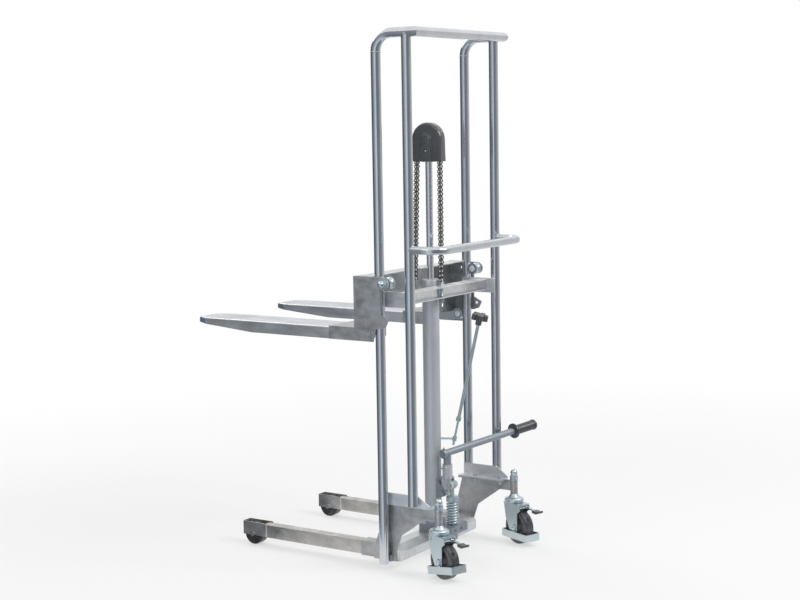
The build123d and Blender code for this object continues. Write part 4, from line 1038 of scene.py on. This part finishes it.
class STACKER_OT_chain_cover(bpy.types.Operator):
    """Moulded cover over the chain wheel: a shell with a rounded rim and a raised tongue on each face"""

    bl_idname = "stacker.chain_cover"
    bl_label = "Chain cover"

    WALL, RIM = 0.0024, 0.0065
    # Raised forms: radius of the head, spread of the foot, rise over the face, rounding and its segments
    TONGUE = (0.0175, 1.5, 0.0055, 0.0030, 4)
    STEP = (0.0225, 1.42, 0.0018, 0.0014, 3)
    # The raised forms' centre over the wheel's, and how deep they are sunk in the shell
    CROWN, SUNK = 0.002, 0.001
    # Cutter of the screw's well: radius, length, and its middle over the face
    WELL_R, WELL_LENGTH, WELL_MIDDLE = 0.0060, 0.0080, 0.0062
    # Height over the foot up to which an edge or face belongs to it
    FOOT = 0.0005

    # A round headed outline that widens to its foot, raised along X
    def slab(self, centre, radius, foot, widening, low, high, corners):
        piece = circle(corners, radius, (low, centre.y, centre.z), (0, math.pi / 2, 0))
        edit(piece)
        pick("verts", lambda v: v.co.z < centre.z - 0.0001)
        bpy.ops.transform.resize(value=(1, widening, 0), center_override=(low, centre.y, foot))
        pick_all()
        extrude(high - low, 0, 0)
        return outward(piece)

    # Rounds the rim of a slab's outer faces, but not along the foot
    def round_rim(self, piece, outer, foot, radius, segments):
        edit(piece)
        pick("edges", lambda e: all(abs(v.co.x) > outer - FINE for v in e.verts)
             and run(e, X) < FINE and max(v.co.z for v in e.verts) > foot + self.FOOT)
        bpy.ops.mesh.bevel(offset=radius, segments=segments)

    # A form that stands out of the right face
    def raised(self, wheel, foot, radius, widening, rise, rounding, segments):
        crown = wheel + Vector((0, 0, self.CROWN))
        outer = COVER_HALF + rise
        form = self.slab(crown, radius, foot, widening, COVER_HALF - self.SUNK, outer, 64)
        self.round_rim(form, outer, foot, rounding, segments)
        return outward(form)

    def execute(self, context):
        low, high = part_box("chain_cover")
        foot = low.z
        radius = (high.y - low.y) / 2
        wheel = Vector((0, RAM_Y, high.z - radius))
        shell = self.slab(wheel, radius, foot, 1, -COVER_HALF, COVER_HALF, 96)
        self.round_rim(shell, COVER_HALF, foot, self.RIM, 5)
        pick("faces", lambda f: f.normal.z < -0.9 and f.calc_center_median().z < foot + self.FOOT)
        bpy.ops.mesh.delete(type="FACE")
        outward(shell)
        parts = [modify(shell, "SOLIDIFY", thickness=self.WALL, offset=-1)]
        well_place = (COVER_HALF + self.WELL_MIDDLE, RAM_Y, COVER_SCREW_Z)
        well = cross_bar(32, self.WELL_R, self.WELL_LENGTH, well_place)
        tongue = self.raised(wheel, foot, *self.TONGUE)
        modify(tongue, "BOOLEAN", object=well, operation="DIFFERENCE", solver="EXACT")
        bpy.data.objects.remove(well)
        for form in (tongue, self.raised(wheel, foot, *self.STEP)):
            parts += copies(form, MIRRORED)
        for part in parts:
            outward(part)
        cover = join(parts)
        finish_piece(cover, "chain_cover_moulded", "rod", "black_plastic", smooth=40)
        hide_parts("chain_cover")
        return {"FINISHED"}


class STACKER_OT_cover_screws(bpy.types.Operator):
    """Screws in the wells of the chain cover"""

    bl_idname = "stacker.cover_screws"
    bl_label = "Cover screws"

    # Where a head starts, just under its well's floor
    SEAT = 0.0201

    def execute(self, context):
        screw = turned((
            (3.4, 0), (3.8, 0.4), (3.8, 1.4), (3.3, 2.2), (2.5, 2.7), (1.8, 2.8), (1.6, 1.6), (0.4, 1.4),
        ), 20)
        places = [at(side * self.SEAT, RAM_Y, COVER_SCREW_Z) @ along_x(side) for side, _ in SIDES]
        finish_piece(join(copies(screw, places)), "cover_screws", "rod", "zinc_steel")
        return {"FINISHED"}


class STACKER_OT_bar_grip(bpy.types.Operator):
    """Ribbed grip with its guard on the pump bar, and the grease nipple on the bar's head"""

    bl_idname = "stacker.bar_grip"
    bl_label = "Pump bar grip"

    # In millimetres along the bar: the guard, the run of the ribs, a rib in shares of its pitch, and the end
    GUARD = (
        (14, 330), (25, 330.1), (27.4, 331), (28, 332.6),
        (28, 336.6), (27.2, 338.4), (24, 339.2), (18.4, 340.6),
    )
    FIRST_RIB, LAST_RIB = 344.0, 429.0
    RIB = ((17.2, 0), (17.9, 0.25), (17.9, 0.6), (17.2, 0.85))
    END = ((18.4, 430), (19.6, 433), (19.6, 437), (18.2, 440.2), (13.6, 441.9), (5, 442.2))
    NIPPLE = ((2.3, 2.4), (2.5, 3.2), (1.5, 4.4), (2.4, 5.4), (2.2, 6.4), (1.2, 7.0), (0.4, 7.1))
    # The nipple's seat in the bar's frame
    SEAT = (-0.0145, 0, 0.0158)

    def execute(self, context):
        ribs = context.scene.stacker_sizes.grip_ribs
        pitch = (self.LAST_RIB - self.FIRST_RIB) / ribs
        rings = list(self.GUARD)
        for i in range(ribs):
            low = self.FIRST_RIB + i * pitch
            rings += [(radius, low + pitch * share) for radius, share in self.RIB]
        grip = turned(rings + list(self.END), 32)
        grip.matrix_world = BAR_FRAME @ along_x(RIGHT)
        finish_piece(grip, "bar_grip_ribbed", "pump_bar", "caster_tyre")
        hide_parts("bar_grip")
        nipple = join([hex_head(6.4, 0, 2.6), turned(self.NIPPLE, 16)])
        nipple.matrix_world = BAR_FRAME @ at(*self.SEAT)
        finish_piece(nipple, "grease_nipple", "pump_bar", "brass")
        return {"FINISHED"}


class STACKER_OT_column_bolts(bpy.types.Operator):
    """Two clamp bolts on the pump lever's column"""

    bl_idname = "stacker.column_bolts"
    bl_label = "Column bolts"

    # Seats on the column's left face
    SEATS = ((-0.0150, -0.0750, 0.3142), (-0.0150, -0.0880, 0.3168))

    def execute(self, context):
        washer = turned(((5.4, 0), (5.6, 0.3), (5.6, 1.6), (5.2, 1.9), (3, 1.9)), 20)
        bolt = join([washer, hex_head(9, 1.8, 7.6)])
        places = [at(*seat) @ along_x(LEFT) for seat in self.SEATS]
        finish_piece(join(copies(bolt, places)), "column_bolts", "pump_lever", "zinc_steel")
        return {"FINISHED"}


class STACKER_OT_axle_nuts(bpy.types.Operator):
    """Nuts with domed ends and washers on the caster axles"""

    bl_idname = "stacker.axle_nuts"
    bl_label = "Axle nuts"

    # In a caster's frame: half the fork's width, and the axle's place behind the stem and over the floor
    FORK_HALF, AXLE_Y, AXLE_Z = 0.025, -0.030, 0.0625

    def execute(self, context):
        washer = turned(((11, 0), (11.4, 0.4), (11.4, 1.5), (11, 1.9), (6, 1.9)))
        end = turned(((6.4, 6), (6.4, 7), (5.8, 8.4), (4.2, 9.8), (2, 10.5), (0.5, 10.6)), 20)
        nut = join([washer, hex_head(18.4, 1.8, 7.2), end])
        ends = [at(side * self.FORK_HALF, self.AXLE_Y, self.AXLE_Z) @ along_x(side) for side, _ in SIDES]
        pair = join(copies(nut, ends))
        for name, piece in on_both_sides(pair, caster_place):
            finish_piece(piece, f"{name}_axle_nuts", f"{name}_caster", "zinc_steel")
        return {"FINISHED"}


class STACKER_OT_brake_pads(bpy.types.Operator):
    """Ribbed pads on the brake pedals"""

    bl_idname = "stacker.brake_pads"
    bl_label = "Brake pads"

    # In a caster's frame
    PLACE, SIZE = (0.014, -0.114, 0.1298), (0.0252, 0.034, 0.0094)
    # Rows of faces from the end next to the wheel, the line that lies lowest, its sag, and the rise beyond it
    ROWS, LOWEST, SAG, RISE = 8, 5, 0.0021, 0.0030
    # The underside lies below this height, and thins the pad by so much at each line beyond the lowest
    UNDER, THINNING = 0.1285, 0.0010

    def sag(self, line):
        if line < self.LOWEST:
            return -self.SAG * line / self.LOWEST
        return -self.SAG + self.RISE * (line - self.LOWEST) / (self.ROWS - self.LOWEST)

    def execute(self, context):
        length = self.SIZE[Y]
        near = self.PLACE[Y] + length / 2
        step = length / self.ROWS
        pad = block(self.PLACE, self.SIZE)
        edit(pad)
        pick("edges", lambda e: run(e, Y) > length * 0.8)
        bpy.ops.mesh.subdivide(number_cuts=self.ROWS - 1)
        for line in range(self.ROWS + 1):
            y = near - step * line
            pick("verts", lambda v: abs(v.co.y - y) < step / 8)
            bpy.ops.transform.translate(value=(0, 0, self.sag(line)))
            pick("verts", lambda v: abs(v.co.y - y) < step / 8 and v.co.z < self.UNDER)
            bpy.ops.transform.translate(value=(0, 0, self.THINNING * max(0, line - self.LOWEST)))
        pick("faces", lambda f: f.normal.z > 0.8
             and round((near - f.calc_center_median().y) / step - 0.5) % 2)
        bpy.ops.mesh.inset(thickness=0.0007, depth=0.0009)
        ease(outward(pad), 0.0006, 40)
        for name, piece in on_both_sides(pad, caster_place):
            finish_piece(piece, f"{name}_brake_pad", f"{name}_brake_pedal", "black_plastic")
        return {"FINISHED"}


class STACKER_OT_stage(bpy.types.Operator):
    """Pale floor, soft lamps, studio cards, white surroundings and the camera"""

    bl_idname = "stacker.stage"
    bl_label = "Stage"

    FLOOR_SIZE = 24
    # Where the floor starts to fade to white and where it has, and its white at the start
    FADE_FROM, FADE_TO, FADE_START = 1.2, 4.0, 0.55
    # Lamps: name, place, size and power
    LAMPS = (
        ("key_lamp", (0.6, -4.4, 4.2), 2.4, 150),
        ("fill_lamp", (-4.6, 0.6, 2.6), 2.6, 40),
        ("back_lamp", (1.5, 4.2, 3.6), 2.6, 60),
    )
    LAMP_AIM = Vector((0, 0.1, 0.9))
    # Wall of cards: radius, height and the height of its middle
    WALL_R, WALL_HEIGHT, WALL_Z = 3.4, 2.7, 1.37
    # Its skirt: height over the floor, drop from the wall, and inner edge as a share of the wall's radius
    SKIRT_Z, SKIRT_DROP, SKIRT_INNER = 0.005, 0.015, 0.19
    WORLD_STRENGTH = 0.55
    # The camera fitted to the photo, with its yaw, pitch and roll in degrees
    CAMERA_PLACE = (-4.6549, -2.9665, 1.5542)
    CAMERA_ANGLES = (56.563, -6.63, -0.918)
    LENS, SENSOR = 70.43, 36

    def execute(self, context):
        scene = context.scene
        scene.view_settings.view_transform = "Standard"
        self.floor()
        self.lamps(scene)
        self.cards()
        self.surroundings(scene)
        self.camera(scene)
        return {"FINISHED"}

    # Rays that see white: the camera's and those of reflections
    def seen(self, tree, rays):
        return combine(tree, "MAXIMUM", (rays, "Is Camera Ray"), (rays, "Is Glossy Ray"))

    # The floor, paler for the camera and reflections, up to white far from the object
    def floor(self):
        floor = start(bpy.ops.mesh.primitive_plane_add, size=self.FLOOR_SIZE)
        floor.name = "floor"
        material = surface("PaleFloor", linear("#F2F2F2"), 0.0, 0.9)
        tree = material.node_tree
        place = add_node(tree, "ShaderNodeTexCoord")
        reach = add_node(tree, "ShaderNodeVectorMath", {"operation": "LENGTH"}, links={0: (place, "Object")})
        fade = add_node(
            tree,
            "ShaderNodeMapRange",
            {"interpolation_type": "SMOOTHSTEP"},
            {"From Min": self.FADE_FROM, "From Max": self.FADE_TO, "To Min": self.FADE_START, "To Max": 1.0},
            {"Value": (reach, "Value")},
        )
        seen = self.seen(tree, add_node(tree, "ShaderNodeLightPath"))
        share = combine(tree, "MULTIPLY", (fade, "Result"), (seen, "Value"))
        white = add_node(tree, "ShaderNodeEmission")
        shader = tree.nodes["Principled BSDF"]
        mix = add_node(tree, "ShaderNodeMixShader",
                       links={0: (share, "Value"), 1: (shader, "BSDF"), 2: (white, "Emission")})
        tree.links.new(mix.outputs["Shader"], tree.nodes["Material Output"].inputs["Surface"])
        floor.data.materials.append(material)

    def lamps(self, scene):
        for name, place, size, power in self.LAMPS:
            lamp = bpy.data.objects.new(name, bpy.data.lights.new(name, "AREA"))
            scene.collection.objects.link(lamp)
            lamp.data.size = size
            lamp.data.energy = power
            lamp.location = place
            lamp.rotation_euler = (self.LAMP_AIM - Vector(place)).to_track_quat("-Z", "Y").to_euler()

    # A wall of studio cards round the object, dark and pale by turns, that only reflections see
    def cards(self):
        wall = start(
            bpy.ops.mesh.primitive_cylinder_add,
            vertices=96,
            radius=self.WALL_R,
            depth=self.WALL_HEIGHT,
            end_fill_type="NOTHING",
            location=(0, 0, self.WALL_Z),
        )
        wall.name = "studio_cards"
        edit(wall)
        pick("edges", lambda e: max(v.co.z for v in e.verts) < 0.1)
        extrude(0, 0, -self.SKIRT_DROP)
        inner = (self.SKIRT_INNER, self.SKIRT_INNER, 1)
        bpy.ops.transform.resize(value=inner, center_override=(0, 0, self.SKIRT_Z))
        deselect()
        material = node_material("StudioCards")
        tree = material.node_tree
        place = add_node(tree, "ShaderNodeTexCoord")
        turn = add_node(tree, "ShaderNodeTexGradient", {"gradient_type": "RADIAL"},
                        links={"Vector": (place, "Object")})
        ramp = add_node(tree, "ShaderNodeValToRGB", links={"Fac": (turn, "Fac")})
        bands = ramp.color_ramp
        bands.interpolation = "EASE"
        while len(bands.elements) > 1:
            bands.elements.remove(bands.elements[-1])
        for i, (angle, shade) in enumerate(CARDS):
            stop = bands.elements[0] if i == 0 else bands.elements.new(angle / 360)
            stop.position = angle / 360
            stop.color = (*linear(shade), 1)
        glow = add_node(tree, "ShaderNodeEmission", links={"Color": (ramp, "Color")})
        tree.links.new(glow.outputs["Emission"], tree.nodes["Material Output"].inputs["Surface"])
        wall.data.materials.append(material)
        for ray in ("camera", "diffuse", "transmission", "volume_scatter", "shadow"):
            setattr(wall, f"visible_{ray}", False)

    # Soft light from all round, seen as white
    def surroundings(self, scene):
        world = bpy.data.worlds.new("WhiteStudio")
        scene.world = world
        world.use_nodes = True
        tree = world.node_tree
        light = tree.nodes["Background"]
        colour = (*linear("#FFFFFF"), 1)
        light.inputs["Color"].default_value = colour
        light.inputs["Strength"].default_value = self.WORLD_STRENGTH
        rays = add_node(tree, "ShaderNodeLightPath")
        seen = self.seen(tree, rays)
        through = combine(tree, "MAXIMUM", (seen, "Value"), (rays, "Is Transmission Ray"))
        white = add_node(tree, "ShaderNodeBackground", values={"Color": colour, "Strength": 1.0})
        mix = add_node(tree, "ShaderNodeMixShader",
                       links={0: (through, "Value"), 1: (light, "Background"), 2: (white, "Background")})
        tree.links.new(mix.outputs["Shader"], tree.nodes["World Output"].inputs["Surface"])

    def camera(self, scene):
        yaw, pitch, roll = (math.radians(angle) for angle in self.CAMERA_ANGLES)
        ahead = Vector((math.sin(yaw) * math.cos(pitch), math.cos(yaw) * math.cos(pitch), math.sin(pitch)))
        level = ahead.cross(Vector((0, 0, 1))).normalized()
        over = level.cross(ahead)
        right = level * math.cos(roll) + over * math.sin(roll)
        up = over * math.cos(roll) - level * math.sin(roll)
        camera = bpy.data.objects.new("camera", bpy.data.cameras.new("camera"))
        scene.collection.objects.link(camera)
        turn = Matrix((right, up, -ahead)).transposed().to_4x4()
        camera.matrix_world = at(*self.CAMERA_PLACE) @ turn
        camera.data.sensor_width = self.SENSOR
        camera.data.lens = self.LENS
        scene.camera = camera


PIECES = (
    STACKER_OT_finishes,
    STACKER_OT_chain,
    STACKER_OT_spring,
    STACKER_OT_weld_rings,
    STACKER_OT_plate_welds,
    STACKER_OT_mast_bridge,
    STACKER_OT_sheet_edges,
    STACKER_OT_fork_shanks,
    STACKER_OT_rear_anchor,
    STACKER_OT_gland_nut,
    STACKER_OT_acorn_nuts,
    STACKER_OT_roller_faces,
    STACKER_OT_chain_cover,
    STACKER_OT_cover_screws,
    STACKER_OT_bar_grip,
    STACKER_OT_column_bolts,
    STACKER_OT_axle_nuts,
    STACKER_OT_brake_pads,
    STACKER_OT_stage,
)


class STACKER_PT_sidebar(bpy.types.Panel):
    """Lists the stacker's sizes, colours and pieces"""

    bl_idname = "STACKER_PT_sidebar"
    bl_label = "Stacker"
    bl_space_type = "VIEW_3D"
    bl_region_type = "UI"
    bl_category = "Stacker"

    def draw(self, context):
        for group in (context.scene.stacker_sizes, context.scene.stacker_colours):
            for key in group.bl_rna.properties.keys():
                if key not in ("rna_type", "name"):
                    self.layout.prop(group, key)
        for piece in PIECES:
            self.layout.operator(piece.bl_idname)


CLASSES = (StackerSizes, StackerColours, *PIECES, STACKER_PT_sidebar)


def register():
    for kind in CLASSES:
        bpy.utils.register_class(kind)
    bpy.types.Scene.stacker_sizes = PointerProperty(type=StackerSizes)
    bpy.types.Scene.stacker_colours = PointerProperty(type=StackerColours)


def unregister():
    del bpy.types.Scene.stacker_colours
    del bpy.types.Scene.stacker_sizes
    for kind in reversed(CLASSES):
        bpy.utils.unregister_class(kind)


def main():
    register()
    for piece in PIECES:
        getattr(bpy.ops.stacker, piece.bl_idname.split(".")[1])()


if __name__ == "__main__":
    main()
